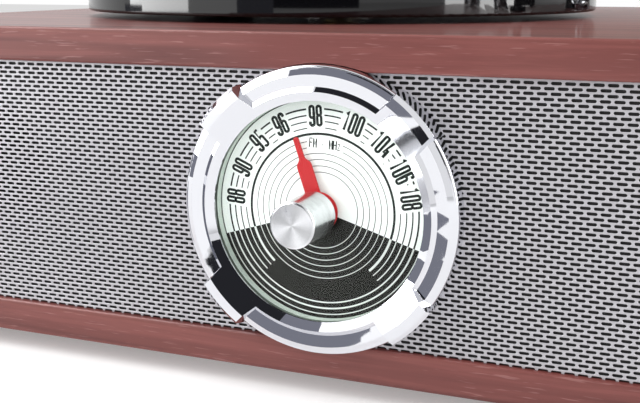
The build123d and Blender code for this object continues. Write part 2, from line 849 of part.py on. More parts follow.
# Platter: a shallow dish turned over, with an inner ring for the belt
plate_low = mat_low - platter_plate
ring_low = deck_top + belt_ring_gap
dish_radius = platter_radius - platter_rim
ring_inner = belt_ring_radius - belt_ring_wall
with BuildPart() as platter:
    with BuildSketch(upright(platter_x, platter_y)):
        with BuildLine():
            Polyline(
                (bush_radius, plate_low),
                (ring_inner, plate_low),
                (ring_inner, ring_low),
                (belt_ring_radius, ring_low),
                (belt_ring_radius, plate_low),
                (dish_radius, plate_low),
                (dish_radius, platter_low),
                (platter_radius, platter_low),
                (platter_radius, platter_top),
                (platter_radius - platter_lip, platter_top),
                (platter_radius - platter_lip, mat_low),
                (bush_radius, mat_low),
                close=True,
            )
        make_face()
    revolve(axis=vertical(platter_x, platter_y))
    outer_rings = platter.edges().filter_by(GeomType.CIRCLE).group_by(SortBy.RADIUS)[-1]
    fillet(outer_rings, radius=min(platter_round, platter_lip / 2))
platter.part.label = "platter"
export_step(platter.part, "parts/platter.step")

bush_low = deck_top + boss_height + thrust_gap
with BuildPart() as platter_bush:
    with BuildSketch(Plane.XY.offset(bush_low)):
        with Locations((platter_x, platter_y)):
            Circle(bush_radius)
            Circle(bearing_shaft_radius + running_gap, mode=Mode.SUBTRACT)
    extrude(amount=mat_low - bush_low)
platter_bush.part.label = "platter_bush"
export_step(platter_bush.part, "parts/platter_bush.step")

mat_radius = platter_radius - platter_lip - fit_gap
with BuildPart() as platter_mat:
    with BuildSketch(upright(platter_x, platter_y, mat_low)):
        with BuildLine():
            Polyline(
                (bearing_shaft_radius + fit_gap, 0),
                (mat_radius, 0),
                (mat_radius, mat_thickness),
                (mat_radius - mat_rim, mat_thickness),
                (mat_radius - mat_rim, mat_thickness - label_dip / 2),
                (label_radius, mat_thickness - label_dip / 2),
                (label_radius, mat_thickness - label_dip),
                (bearing_shaft_radius + fit_gap, mat_thickness - label_dip),
                close=True,
            )
        make_face()
    revolve(axis=vertical(platter_x, platter_y))
platter_mat.part.label = "platter_mat"
export_step(platter_mat.part, "parts/platter_mat.step")

# Motor under the deck, its shaft through the board, and the flat belt round pulley and ring
belt_low = ring_low + belt_rise
pulley_low = belt_low - pulley_flange
pulley_top = belt_low + belt_width + pulley_flange
shaft_low = motor_face - motor_height / 2
with BuildPart() as motor:
    with BuildSketch(Plane.XY.offset(motor_face)):
        with Locations((motor_x, motor_y)):
            Circle(motor_radius)
    extrude(amount=-motor_height)
    fillet(motor.edges().group_by(Axis.Z)[0], radius=motor_edge)
    with BuildSketch(Plane.XY.offset(motor_face)):
        with Locations((motor_x, motor_y)):
            SlotOverall(2 * motor_plate_radius, motor_radius)
            Circle(motor_radius)
        with Locations((motor_x, motor_y)):
            with GridLocations(motor_radius + motor_plate_radius, 0, 2, 1):
                Circle(wood_screw_radius, mode=Mode.SUBTRACT)
    extrude(amount=motor_plate)
    with BuildSketch(Plane.XY.offset(deck_under)):
        with Locations((motor_x, motor_y)):
            Circle(motor_shaft_radius + running_gap)
    extrude(amount=shaft_low - deck_under - running_gap, mode=Mode.SUBTRACT)
motor.part.label = "motor"
export_step(motor.part, "parts/motor.step")

with BuildPart() as motor_shaft:
    with BuildSketch(Plane.XY.offset(shaft_low)):
        with Locations((motor_x, motor_y)):
            Circle(motor_shaft_radius)
    extrude(amount=pulley_top - shaft_low)
motor_shaft.part.label = "motor_shaft"
export_step(motor_shaft.part, "parts/motor_shaft.step")

with BuildPart() as motor_pulley:
    with BuildSketch(upright(motor_x, motor_y)):
        with BuildLine():
            Polyline(
                (motor_shaft_radius, pulley_low),
                (pulley_radius + pulley_flange, pulley_low),
                (pulley_radius, belt_low),
                (pulley_radius, belt_low + belt_width),
                (pulley_radius + pulley_flange, pulley_top),
                (motor_shaft_radius, pulley_top),
                close=True,
            )
        make_face()
    revolve(axis=vertical(motor_x, motor_y))
motor_pulley.part.label = "motor_pulley"
export_step(motor_pulley.part, "parts/motor_pulley.step")

with BuildPart() as drive_belt:
    with BuildSketch(Plane.XY.offset(belt_low + belt_inset)):
        with Locations((platter_x, platter_y)):
            Circle(belt_ring_radius + running_gap + belt_thickness)
        with Locations((motor_x, motor_y)):
            Circle(pulley_radius + running_gap + belt_thickness)
        make_hull()
    extrude(amount=belt_width - 2 * belt_inset)
    with BuildSketch(Plane.XY.offset(belt_low)):
        with Locations((platter_x, platter_y)):
            Circle(belt_ring_radius + running_gap)
        with Locations((motor_x, motor_y)):
            Circle(pulley_radius + running_gap)
        make_hull()
    extrude(amount=belt_width, mode=Mode.SUBTRACT)
drive_belt.part.label = "drive_belt"
export_step(drive_belt.part, "parts/drive_belt.step")

# Tonearm base, and the turret that swings on it with two ears for the pivots
stem_low = deck_under - turret_stem_below
turret_low = deck_top + pillar_height + fit_gap
stem_bore = turret_stem_radius + running_gap
base_edge = base_height - base_round
base_face = base_radius - base_round
pillar_foot = pillar_radius + pillar_sweep
pillar_start = base_height + pillar_sweep
with BuildPart() as tonearm_base:
    with BuildSketch(upright(arm_x, arm_y, deck_top)):
        with BuildLine():
            Polyline((stem_bore, 0), (base_radius, 0), (base_radius, base_edge))
            RadiusArc((base_radius, base_edge), (base_face, base_height), 1.05 * base_round)
            Line((base_face, base_height), (pillar_foot, base_height))
            RadiusArc((pillar_foot, base_height), (pillar_radius, pillar_start), 1.05 * pillar_sweep)
            Line((pillar_radius, pillar_start), (pillar_radius, pillar_height))
            Polyline((pillar_radius, pillar_height), (stem_bore, pillar_height), (stem_bore, 0))
        make_face()
    revolve(axis=vertical(arm_x, arm_y))
tonearm_base.part.label = "tonearm_base"
export_step(tonearm_base.part, "parts/tonearm_base.step")

ear_round = block_height / 2
ear_inner = block_width / 2 + fit_gap
turret_top = turret_low + turret_plate
with BuildPart() as arm_turret:
    with BuildSketch(Plane.XY.offset(stem_low)):
        with Locations((arm_x, arm_y)):
            Circle(turret_stem_radius)
    extrude(amount=turret_low - stem_low)
    with BuildSketch(Plane.XY.offset(turret_low)):
        with Locations((arm_x, arm_y)):
            Circle(turret_radius)
    extrude(amount=turret_plate)
    with BuildSketch(Plane(origin=(arm_x, arm_y, arm_z), x_dir=(0, 1, 0), z_dir=(1, 0, 0))):
        Circle(ear_round)
        with Locations((0, turret_top - arm_z)):
            Rectangle(2 * ear_round, arm_z - turret_top, align=(Align.CENTER, Align.MIN))
        Circle(pivot_radius + running_gap, mode=Mode.SUBTRACT)
    extrude(amount=ear_inner + ear_thickness, both=True)
    with BuildSketch(Plane.XY.offset(turret_top)):
        with Locations((arm_x, arm_y)):
            Rectangle(2 * ear_inner, 4 * ear_round)
    extrude(amount=2 * arm_height, mode=Mode.SUBTRACT)
arm_turret.part.label = "arm_turret"
export_step(arm_turret.part, "parts/arm_turret.step")

# Arm block between the ears, its cross pivot and the tube through it
arm_line = Plane(origin=(arm_x, arm_y, arm_z), x_dir=(1, 0, 0), z_dir=(0, -1, 0))
pivot_length = ear_inner + ear_thickness - block_width / 2 + fit_gap
with BuildPart() as arm_block:
    with BuildSketch(arm_line.offset(-block_length / 2)):
        RectangleRounded(block_width, block_height, block_corner)
        Circle(tube_radius, mode=Mode.SUBTRACT)
    extrude(amount=block_length)
    for side in (-1, 1):
        pivot_start = (arm_x + side * block_width / 2, arm_y, arm_z)
        with BuildSketch(Plane(origin=pivot_start, z_dir=(side, 0, 0))):
            Circle(pivot_radius)
        extrude(amount=pivot_length)
arm_block.part.label = "arm_block"
export_step(arm_block.part, "parts/arm_block.step")

with BuildPart() as tonearm_tube:
    with BuildSketch(arm_line.offset(-tube_tail)):
        Circle(tube_radius)
        Circle(tube_radius - tube_wall, mode=Mode.SUBTRACT)
    extrude(amount=tube_tail + tube_reach)
tonearm_tube.part.label = "tonearm_tube"
export_step(tonearm_tube.part, "parts/tonearm_tube.step")

with BuildPart() as counterweight:
    with BuildSketch(arm_line.offset(-weight_back - weight_length / 2)):
        Circle(weight_radius)
    extrude(amount=weight_length)
    chamfer(counterweight.edges().filter_by(GeomType.CIRCLE), length=weight_edge)
    with BuildSketch(arm_line.offset(-weight_back - weight_length / 2)):
        Circle(tube_radius)
    extrude(amount=weight_length, mode=Mode.SUBTRACT)
counterweight.part.label = "counterweight"
export_step(counterweight.part, "parts/counterweight.step")

# Headshell, turned inward at the elbow, with its finger lift
head_low = arm_z - head_thickness / 2
head_plane = Plane(origin=(arm_x, elbow_y, head_low), x_dir=head_dir, z_dir=(0, 0, 1))
half_head = head_width / 2
finger_middle = half_head + finger_length / 2 - finger_overlap
with BuildPart() as headshell:
    with BuildSketch(head_plane):
        with BuildLine():
            Polyline(
                (-head_root, -collar_radius),
                (head_taper, -half_head),
                (head_length, -half_head),
                (head_length, half_head),
                (head_taper, half_head),
                (-head_root, collar_radius),
                close=True,
            )
        make_face()
    extrude(amount=head_thickness)
    uprights = headshell.edges().filter_by(Axis.Z)
    head_front = headshell.faces().sort_by(Axis.Y)[0].center()
    fillet(uprights.sort_by_distance(head_front)[0:2], radius=head_corner)
    with BuildSketch(head_plane.offset(head_thickness)):
        with Locations((head_length - finger_inset, finger_middle)):
            RectangleRounded(finger_width, finger_length, finger_width / 2.1)
    extrude(amount=-finger_thickness)
    with BuildSketch(arm_line.offset(tube_reach - collar_length)):
        Circle(collar_radius)
    extrude(amount=collar_length)
    with BuildSketch(arm_line.offset(tube_reach - collar_length)):
        Circle(tube_radius)
    extrude(amount=collar_length, mode=Mode.SUBTRACT)
headshell.part.label = "headshell"
export_step(headshell.part, "parts/headshell.step")

cartridge_low = head_low - cartridge_height
cartridge_nose = stylus_reach + cartridge_ahead
with BuildPart() as cartridge:
    with BuildSketch(head_plane.offset(-cartridge_height)):
        with Locations((cartridge_nose - cartridge_length / 2, 0)):
            Rectangle(cartridge_length, cartridge_width)
    extrude(amount=cartridge_height)
    chamfer(cartridge.edges().group_by(Axis.Z)[0], length=cartridge_edge)
cartridge.part.label = "cartridge"
export_step(cartridge.part, "parts/cartridge.step")

stylus_x = arm_x + head_dir[0] * stylus_reach
stylus_y = elbow_y + head_dir[1] * stylus_reach
with BuildPart() as stylus:
    with Locations((stylus_x, stylus_y, stylus_tip_z)):
        Cone(stylus_tip_radius, stylus_top_radius, cartridge_low - stylus_tip_z, align=from_below)
stylus.part.label = "stylus"
export_step(stylus.part, "parts/stylus.step")

# Arm rest: a post with a cradle that is open above and on the platter's side
rest_floor = arm_z - tube_radius - arm_rest_gap
rest_plane = Plane(origin=(arm_x, arm_rest_y + arm_rest_width / 2, 0), x_dir=(1, 0, 0), z_dir=(0, -1, 0))
cradle_half = tube_radius + arm_rest_gap
with BuildPart() as arm_rest:
    with BuildSketch(rest_plane):
        with BuildLine():
            Polyline(
                (-cradle_half, rest_floor),
                (cradle_half, rest_floor),
                (cradle_half, arm_z + tube_radius),
                (cradle_half + arm_rest_wall, arm_z + tube_radius),
                (cradle_half + arm_rest_wall, rest_floor - 2 * arm_rest_wall),
                (arm_rest_wall, rest_floor - 3 * arm_rest_wall),
                (arm_rest_wall, deck_top),
                (-arm_rest_wall, deck_top),
                (-arm_rest_wall, rest_floor - 2 * arm_rest_wall),
                (-cradle_half, rest_floor - arm_rest_wall),
                close=True,
            )
        make_face()
    extrude(amount=arm_rest_width)
    with Locations((arm_x, arm_rest_y, deck_top)):
        Cylinder(arm_rest_width, arm_rest_wall, align=from_below)
arm_rest.part.label = "arm_rest"
export_step(arm_rest.part, "parts/arm_rest.step")

# Cueing lift: curved bar on a stem under the tube, its guide post, and the side lever
cue_bar_top = arm_z - tube_radius - cue_drop
cue_bar_low = cue_bar_top - cue_bar_height
cue_stem_low = deck_top + cue_stem_rise
sweep_start = from_front(cue_sweep)
sweep_end = from_front(-cue_stem_angle)
bar_arc = CenterArc((arm_x, arm_y), cue_radius, sweep_start, sweep_end - sweep_start)
with BuildPart() as cue_lift:
    with BuildSketch(Plane.XY.offset(cue_bar_low)):
        SlotArc(bar_arc, cue_bar)
    extrude(amount=cue_bar_height)
    with BuildSketch(Plane.XY.offset(cue_stem_low)):
        with Locations((cue_x, cue_y)):
            Circle(cue_stem_radius)
    extrude(amount=cue_bar_low - cue_stem_low)
cue_lift.part.label = "cue_lift"
export_step(cue_lift.part, "parts/cue_lift.step")

lever_x = cue_x + cue_guide_radius + fit_gap
lever_z = deck_top + cue_lever_height
with BuildPart() as cue_guide:
    with Locations((cue_x, cue_y, deck_top)):
        Cylinder(cue_guide_radius, cue_guide_height, align=from_below)
        Cylinder(cue_radius - base_radius - 2 * fit_gap, arm_rest_wall, align=from_below)
    with BuildSketch(Plane(origin=(cue_x, cue_y, lever_z), x_dir=(0, 1, 0), z_dir=(1, 0, 0))):
        Circle(cue_pin_radius)
    extrude(amount=cue_guide_radius + cue_lever_width + 2 * fit_gap)
    with BuildSketch(Plane.XY.offset(cue_stem_low - running_gap)):
        with Locations((cue_x, cue_y)):
            Circle(cue_stem_radius + running_gap)
    extrude(amount=2 * cue_guide_height, mode=Mode.SUBTRACT)
cue_guide.part.label = "cue_guide"
export_step(cue_guide.part, "parts/cue_guide.step")

with BuildPart() as cue_lever:
    with BuildSketch(Plane(origin=(lever_x, cue_y, lever_z), x_dir=(0, -1, 0), z_dir=(-1, 0, 0))):
        Circle(cue_lever_hub)
        with Locations((cue_lever_length / 2, 0)):
            SlotOverall(cue_lever_length + cue_lever_hub, cue_lever_hub)
        Circle(cue_pin_radius + running_gap, mode=Mode.SUBTRACT)
    extrude(amount=-cue_lever_width)
cue_lever.part.label = "cue_lever"
export_step(cue_lever.part, "parts/cue_lever.step")

# Controls on the deck: two turned knobs, each on a shaft that runs in a body under the board
control_shaft_low = deck_under - control_body_height / 2
control_low = deck_top + control_lift
control_mark_y = control_radius - mark_inset - control_mark_length / 2
with BuildPart() as control_bodies:
    with BuildSketch(Plane.XY.offset(deck_under)):
        with Locations((control_x, volume_y), (control_x, selector_y), (control_x, speed_y)):
            Circle(control_body_radius)
    extrude(amount=-control_body_height)
    with BuildSketch(Plane.XY.offset(deck_under)):
        with Locations((control_x, volume_y), (control_x, selector_y), (control_x, speed_y)):
            Circle(control_shaft_radius + running_gap)
    extrude(amount=-control_body_height / 2 - running_gap, mode=Mode.SUBTRACT)
control_bodies.part.label = "control_bodies"
export_step(control_bodies.part, "parts/control_bodies.step")

with BuildPart() as volume_shaft:
    with BuildSketch(Plane.XY.offset(control_shaft_low)):
        with Locations((control_x, volume_y)):
            Circle(control_shaft_radius)
    extrude(amount=control_low + control_bore - control_shaft_low)
volume_shaft.part.label = "volume_shaft"
export_step(volume_shaft.part, "parts/volume_shaft.step")

with BuildPart() as selector_shaft:
    with BuildSketch(Plane.XY.offset(control_shaft_low)):
        with Locations((control_x, selector_y)):
            Circle(control_shaft_radius)
    extrude(amount=control_low + control_bore - control_shaft_low)
selector_shaft.part.label = "selector_shaft"
export_step(selector_shaft.part, "parts/selector_shaft.step")

with BuildPart() as volume_knob:
    with BuildSketch(Plane.XY.offset(control_low)):
        with Locations((control_x, volume_y)):
            Circle(control_radius)
    extrude(amount=control_height)
    chamfer(volume_knob.edges().group_by(Axis.Z)[-1], length=knob_edge)
    with BuildSketch(Plane.XY.offset(control_low)):
        with Locations((control_x, volume_y)):
            Circle(control_shaft_radius)
    extrude(amount=control_bore, mode=Mode.SUBTRACT)
    with BuildSketch(Plane.XY.offset(control_low + control_height)):
        with Locations((control_x, volume_y - control_mark_y)):
            SlotOverall(control_mark_length, mark_width, rotation=90)
    extrude(amount=-mark_depth, mode=Mode.SUBTRACT)
volume_knob.part.label = "volume_knob"
export_step(volume_knob.part, "parts/volume_knob.step")

with BuildPart() as selector_knob:
    with BuildSketch(Plane.XY.offset(control_low)):
        with Locations((control_x, selector_y)):
            Circle(control_radius)
    extrude(amount=control_height)
    chamfer(selector_knob.edges().group_by(Axis.Z)[-1], length=knob_edge)
    with BuildSketch(Plane.XY.offset(control_low)):
        with Locations((control_x, selector_y)):
            Circle(control_shaft_radius)
    extrude(amount=control_bore, mode=Mode.SUBTRACT)
    with BuildSketch(Plane.XY.offset(control_low + control_height)):
        with Locations((control_x, selector_y - control_mark_y)):
            SlotOverall(control_mark_length, mark_width, rotation=90)
    extrude(amount=-mark_depth, mode=Mode.SUBTRACT)
selector_knob.part.label = "selector_knob"
export_step(selector_knob.part, "parts/selector_knob.step")

# Speed selector: a pointed lever on its own shaft
with BuildPart() as speed_lever:
    with BuildSketch(Plane.XY.offset(control_low)):
        with Locations((control_x, speed_y)):
            Circle(lever_hub_radius)
        with Locations((control_x, speed_y - lever_length / 2)):
            SlotOverall(lever_length + lever_width, lever_width, rotation=90)
    extrude(amount=lever_height)
    fillet(speed_lever.edges().group_by(Axis.Z)[-1], radius=lever_edge)
    with BuildSketch(Plane.XY.offset(control_low)):
        with Locations((control_x, speed_y)):
            Circle(control_shaft_radius)
    extrude(amount=control_shaft_low - control_low)
speed_lever.part.label = "speed_lever"
export_step(speed_lever.part, "parts/speed_lever.step")

# Adapter for wide-hole singles, in its shallow seat
adapter_low = deck_top - adapter_recess + thrust_gap
adapter_bore = spindle_radius + fit_gap
with BuildPart() as single_adapter:
    with BuildSketch(upright(adapter_x, adapter_y, adapter_low)):
        with BuildLine():
            Polyline(
                (adapter_bore, 0),
                (adapter_radius, 0),
                (adapter_radius, adapter_height - adapter_edge_height),
                (adapter_radius - adapter_edge_width, adapter_height),
                (adapter_dish_radius, adapter_height),
                (adapter_dish_radius - adapter_dish_slope, adapter_floor),
                (adapter_bore, adapter_floor),
                close=True,
            )
        make_face()
    revolve(axis=vertical(adapter_x, adapter_y))
single_adapter.part.label = "single_adapter"
export_step(single_adapter.part, "parts/single_adapter.step")

# Dust cover, drawn closed in the hinge's own frame and tipped open with it
lid_width = cabinet_width - 2 * lid_side_inset
lid_depth = cabinet_depth - lid_front_inset - lid_rear_inset
lid_middle = -hinge_behind_lid - lid_depth / 2
lid_edge = lid_low - hinge_z
with BuildPart() as dust_cover:
    with BuildSketch(lid_plane.offset(lid_edge)):
        with Locations((0, lid_middle)):
            RectangleRounded(lid_width, lid_depth, lid_corner)
    extrude(amount=lid_height)
    fillet(dust_cover.faces().sort_by(Axis((0, 0, 0), lid_plane.z_dir))[-1].edges(), radius=lid_top_round)
    with BuildSketch(lid_plane.offset(lid_edge)):
        with Locations((0, lid_middle)):
            RectangleRounded(lid_width - 2 * lid_wall, lid_depth - 2 * lid_wall, lid_corner - lid_wall)
    extrude(amount=lid_height - lid_wall, mode=Mode.SUBTRACT)
dust_cover.part.label = "dust_cover"
export_step(dust_cover.part, "parts/dust_cover.step")

bumper_x = (lid_width - lid_wall) / 2
bumper_y = 0.8 * lid_depth / 2
with BuildPart() as lid_bumpers:
    with BuildSketch(lid_plane.offset(lid_edge)):
        with Locations((0, lid_middle)):
            with GridLocations(2 * bumper_x, 2 * bumper_y, 2, 2):
                Circle(bumper_radius)
    extrude(amount=bumper_clear - lid_gap)
lid_bumpers.part.label = "lid_bumpers"
export_step(lid_bumpers.part, "parts/lid_bumpers.step")

# Hinges: arm and knuckle on the lid, pin and lugs on the deck's rear edge
arm_inner = -hinge_behind_lid + hinge_arm_thickness
knuckle_plane = Plane(origin=(-knuckle_width / 2, hinge_y, hinge_z), x_dir=lid_plane.y_dir, z_dir=(1, 0, 0))
with BuildPart() as hinge_arm:
    with BuildSketch(lid_plane.offset(lid_edge)):
        with Locations((0, arm_inner)):
            Rectangle(knuckle_width, hinge_arm_thickness, align=(Align.CENTER, Align.MAX))
    extrude(amount=hinge_arm_height)
    with BuildSketch(knuckle_plane):
        Circle(knuckle_radius)
        with Locations((arm_inner, 0)):
            Rectangle(-arm_inner, knuckle_neck, align=(Align.MIN, Align.CENTER))
        Circle(hinge_pin_radius + running_gap, mode=Mode.SUBTRACT)
    extrude(amount=knuckle_width)
hinge_pair = [Location((-hinge_x, 0, 0)), Location((hinge_x, 0, 0))]
with BuildPart() as hinge_arms:
    with Locations(*hinge_pair):
        add(hinge_arm.part)
hinge_arms.part.label = "hinge_arms"
export_step(hinge_arms.part, "parts/hinge_arms.step")

lug_start = knuckle_width / 2 + lug_gap
with BuildPart() as hinge_block:
    with BuildSketch(Plane.YZ):
        with Locations((hinge_y, hinge_z)):
            Circle(lug_radius)
            Rectangle(2 * lug_radius, hinge_height, align=(Align.CENTER, Align.MAX))
            Circle(hinge_pin_radius, mode=Mode.SUBTRACT)
    extrude(amount=lug_start + lug_thickness, both=True)
    with Locations((0, hinge_y, deck_top + hinge_plate)):
        Box(2 * lug_start, 4 * lug_radius, 4 * hinge_height, align=from_below, mode=Mode.SUBTRACT)
with BuildPart() as hinge_blocks:
    with Locations(*hinge_pair):
        add(hinge_block.part)
hinge_blocks.part.label = "hinge_blocks"
export_step(hinge_blocks.part, "parts/hinge_blocks.step")

with BuildPart() as hinge_pin:
    with BuildSketch(Plane.YZ):
        with Locations((hinge_y, hinge_z)):
            Circle(hinge_pin_radius)
    extrude(amount=lug_start + lug_thickness, both=True)
with BuildPart() as hinge_pins:
    with Locations(*hinge_pair):
        add(hinge_pin.part)
hinge_pins.part.label = "hinge_pins"
export_step(hinge_pins.part, "parts/hinge_pins.step")

# Output sockets and mains inlet in the back panel
with BuildPart() as rca_sockets:
    with BuildSketch(back_plane.offset(-back_thickness - rca_flange)):
        with Locations((-rca_x, socket_z)):
            with GridLocations(rca_spacing, 0, 2, 1):
                Circle(rca_radius - fit_gap)
    extrude(amount=back_thickness + rca_flange)
    with BuildSketch(back_plane):
        with Locations((-rca_x, socket_z)):
            with GridLocations(rca_spacing, 0, 2, 1):
                Circle(rca_radius)
    extrude(amount=rca_length)
    with BuildSketch(back_plane.offset(rca_length)):
        with Locations((-rca_x, socket_z)):
            with GridLocations(rca_spacing, 0, 2, 1):
                Circle(rca_bore)
    extrude(amount=-rca_length, mode=Mode.SUBTRACT)
rca_sockets.part.label = "rca_sockets"
export_step(rca_sockets.part, "parts/rca_sockets.step")

with BuildPart() as mains_inlet:
    with BuildSketch(back_plane):
        with Locations((-inlet_x, socket_z)):
            Rectangle(inlet_width + 2 * inlet_wall, inlet_height + 2 * inlet_wall)
    extrude(amount=-inlet_depth - inlet_wall)
    with BuildSketch(back_plane):
        with Locations((-inlet_x, socket_z)):
            SlotOverall(inlet_width, inlet_height)
    extrude(amount=-inlet_depth, mode=Mode.SUBTRACT)
    with BuildSketch(back_plane.offset(-inlet_depth)):
        with Locations((-inlet_x, socket_z)):
            with GridLocations(inlet_pin_spacing, 0, 2, 1):
                Circle(inlet_pin_radius)
    extrude(amount=inlet_pin_length)
mains_inlet.part.label = "mains_inlet"
export_step(mains_inlet.part, "parts/mains_inlet.step")

# Circuit board on its standoffs, with a transformer and two smoothing capacitors
board_x = cabinet_width / 5
board_y = cabinet_mid_y + cabinet_depth / 6
board_low = floor_top + standoff_height
board_top = board_low + main_board_thickness
with BuildPart() as main_board:
    with BuildSketch(Plane.XY.offset(board_low)):
        with Locations((board_x, board_y)):
            Rectangle(main_board_width, main_board_depth)
    extrude(amount=main_board_thickness)
    with BuildSketch(Plane.XY.offset(board_low)):
        with Locations((board_x, board_y)):
            with GridLocations(main_board_width - standoff_inset, main_board_depth - standoff_inset, 2, 2):
                Circle(standoff_radius)
    extrude(amount=-standoff_height)
    with BuildSketch(Plane.XY.offset(board_top)):
        with Locations((board_x - main_board_width / 4, board_y)):
            Rectangle(transformer_width, transformer_width)
        with Locations((board_x + main_board_width / 5, board_y)):
            with GridLocations(capacitor_pitch, 0, 2, 1):
                Circle(capacitor_radius)
    extrude(amount=component_height)
main_board.part.label = "main_board"
export_step(main_board.part, "parts/main_board.step")
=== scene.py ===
# %% [markdown]
# A tabletop turntable with a built-in radio, dressed in Blender. The solids come from the CAD
# frame and keep their sizes and places. Blender adds what CAD leaves plain: the punched grille,
# the print on the dial, polished edges, and a finish for every piece.
# %% Load the frame
import bpy
import json
from math import asin, ceil, cos, degrees, hypot, pi, radians, sin, tan
from mathutils import Matrix, Vector


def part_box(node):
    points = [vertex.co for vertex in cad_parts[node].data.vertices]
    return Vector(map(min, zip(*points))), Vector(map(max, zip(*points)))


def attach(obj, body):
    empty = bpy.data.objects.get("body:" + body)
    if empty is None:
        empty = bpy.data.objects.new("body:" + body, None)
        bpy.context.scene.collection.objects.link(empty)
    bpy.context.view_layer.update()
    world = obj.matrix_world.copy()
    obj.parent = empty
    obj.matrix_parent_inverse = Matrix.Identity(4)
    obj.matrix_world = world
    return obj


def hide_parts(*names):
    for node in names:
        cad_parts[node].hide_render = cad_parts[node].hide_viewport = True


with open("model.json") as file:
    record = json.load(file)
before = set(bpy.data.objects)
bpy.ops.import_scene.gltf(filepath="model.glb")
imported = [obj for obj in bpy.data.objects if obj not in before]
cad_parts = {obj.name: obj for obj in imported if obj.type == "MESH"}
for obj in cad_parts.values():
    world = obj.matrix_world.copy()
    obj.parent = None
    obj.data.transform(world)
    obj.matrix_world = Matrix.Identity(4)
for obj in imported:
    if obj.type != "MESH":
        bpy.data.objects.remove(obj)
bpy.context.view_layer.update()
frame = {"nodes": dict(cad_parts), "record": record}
nodes = frame["nodes"]
body_of_node = {}
for body_name, members in frame["record"]["behaviour"]["bodies"].items():
    for member in members:
        body_of_node[member] = body_name
slot_of_node = {part["node"]: part["material_slot"] for part in frame["record"]["subparts"]}
mm = 0.001

# %% [markdown]
# The front is measured from the grille's face, because the dial and the camera both belong to it.
# The dial's middle is the middle of the tuning knob, and its printed face is the front of the plate.
# %% Places read from the frame
grille_low, grille_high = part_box("speaker_grille")
knob_low, knob_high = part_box("tuning_knob")
plate_low, plate_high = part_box("dial_plate")
grille_y = grille_low.y
dial_x = (knob_low.x + knob_high.x) / 2
dial_z = (knob_low.z + knob_high.z) / 2
dial_face_y = plate_low.y
print("dial middle", round(dial_x, 5), round(dial_z, 5), "face", round(dial_face_y, 5))

# %% [markdown]
# The photograph was taken close up, from a little to the right of the dial and looking down. The
# place and the turn were found from the rows of slots in the grille, which are straight and evenly
# spaced on the real sheet, so their lines meet where the perspective says.
# %% Camera
camera_side = 124.7 * mm
camera_forward = 305.8 * mm
camera_up = 136.8 * mm
turn = radians(22.32)
tilt = radians(12.07)
look = Vector((-sin(turn) * cos(tilt), cos(turn) * cos(tilt), -sin(tilt)))
right = Vector((cos(turn), sin(turn), 0))
above = right.cross(look)
lens = bpy.data.cameras.new("camera")
lens.lens = 59.06
lens.sensor_width = 36
lens.clip_start = 0.01
camera = bpy.data.objects.new("camera", lens)
bpy.context.scene.collection.objects.link(camera)
facing = Matrix((right, above, -look)).transposed().to_4x4()
camera.matrix_world = Matrix.Translation((camera_side, grille_y - camera_forward, camera_up)) @ facing
bpy.context.scene.camera = camera
bpy.context.scene.view_settings.view_transform = "Standard"
print("camera at", [round(v, 4) for v in camera.matrix_world.translation])

# %% [markdown]
# A material is a small graph of nodes. This helper adds one node, sets its options and fills its
# sockets: a socket of another node is linked, and anything else is written in as a plain value.
# %% Helpers for materials
def add_node(tree, kind, sockets=None, **options):
    made = tree.nodes.new("ShaderNode" + kind)
    for name, value in options.items():
        setattr(made, name, value)
    for name, value in (sockets or {}).items():
        if isinstance(value, bpy.types.NodeSocket):
            tree.links.new(value, made.inputs[name])
        else:
            made.inputs[name].default_value = value
    return made


def new_finish(name):
    material = bpy.data.materials.new(name)
    material.use_nodes = True
    return material, material.node_tree, material.node_tree.nodes["Principled BSDF"]


def colour(red, green, blue):
    """A colour as a picture editor shows it, 0 to 255, turned into the linear light Blender works in."""
    shares = [value / 255 for value in (red, green, blue)]
    linear = [s / 12.92 if s <= 0.04045 else ((s + 0.055) / 1.055) ** 2.4 for s in shares]
    return (*linear, 1.0)


def ramp(tree, factor, stops, smooth=True):
    made = add_node(tree, "ValToRGB", {"Fac": factor})
    made.color_ramp.interpolation = "EASE" if smooth else "LINEAR"
    while len(made.color_ramp.elements) < len(stops):
        made.color_ramp.elements.new(0.5)
    for element, (place, shade) in zip(made.color_ramp.elements, stops):
        element.position = place
        element.color = shade
    return made.outputs["Color"]


def grey(value):
    return (value, value, value, 1.0)


def local_place(tree, stretch=(1, 1, 1), middle=(0, 0, 0), turned=(0, 0, 0)):
    """Object coordinates moved to a middle, turned and stretched, for a pattern to read."""
    place = add_node(tree, "TexCoord").outputs["Object"]
    moved = add_node(tree, "VectorMath", {0: place, 1: middle}, operation="SUBTRACT")
    mapped = add_node(tree, "Mapping", {"Vector": moved.outputs[0], "Scale": stretch, "Rotation": turned})
    return mapped.outputs["Vector"]


def noise(tree, place, scale, detail=4.0, rough=0.5, twist=0.0):
    sockets = {"Vector": place, "Scale": scale, "Detail": detail, "Roughness": rough, "Distortion": twist}
    return add_node(tree, "TexNoise", sockets).outputs["Fac"]


def mix(tree, amount, first, second, blend="MIX"):
    made = add_node(tree, "Mix", {"Factor": amount}, data_type="RGBA", blend_type=blend)
    for index, value in ((6, first), (7, second)):
        if isinstance(value, bpy.types.NodeSocket):
            tree.links.new(value, made.inputs[index])
        else:
            made.inputs[index].default_value = value
    return made.outputs[2]


def calc(tree, operation, first, second=0.0, third=0.0):
    made = add_node(tree, "Math", {0: first, 1: second, 2: third}, operation=operation)
    return made.outputs[0]


def bump(tree, height, distance, strength=1.0):
    made = add_node(tree, "Bump", {"Height": height, "Distance": distance, "Strength": strength})
    return made.outputs["Normal"]

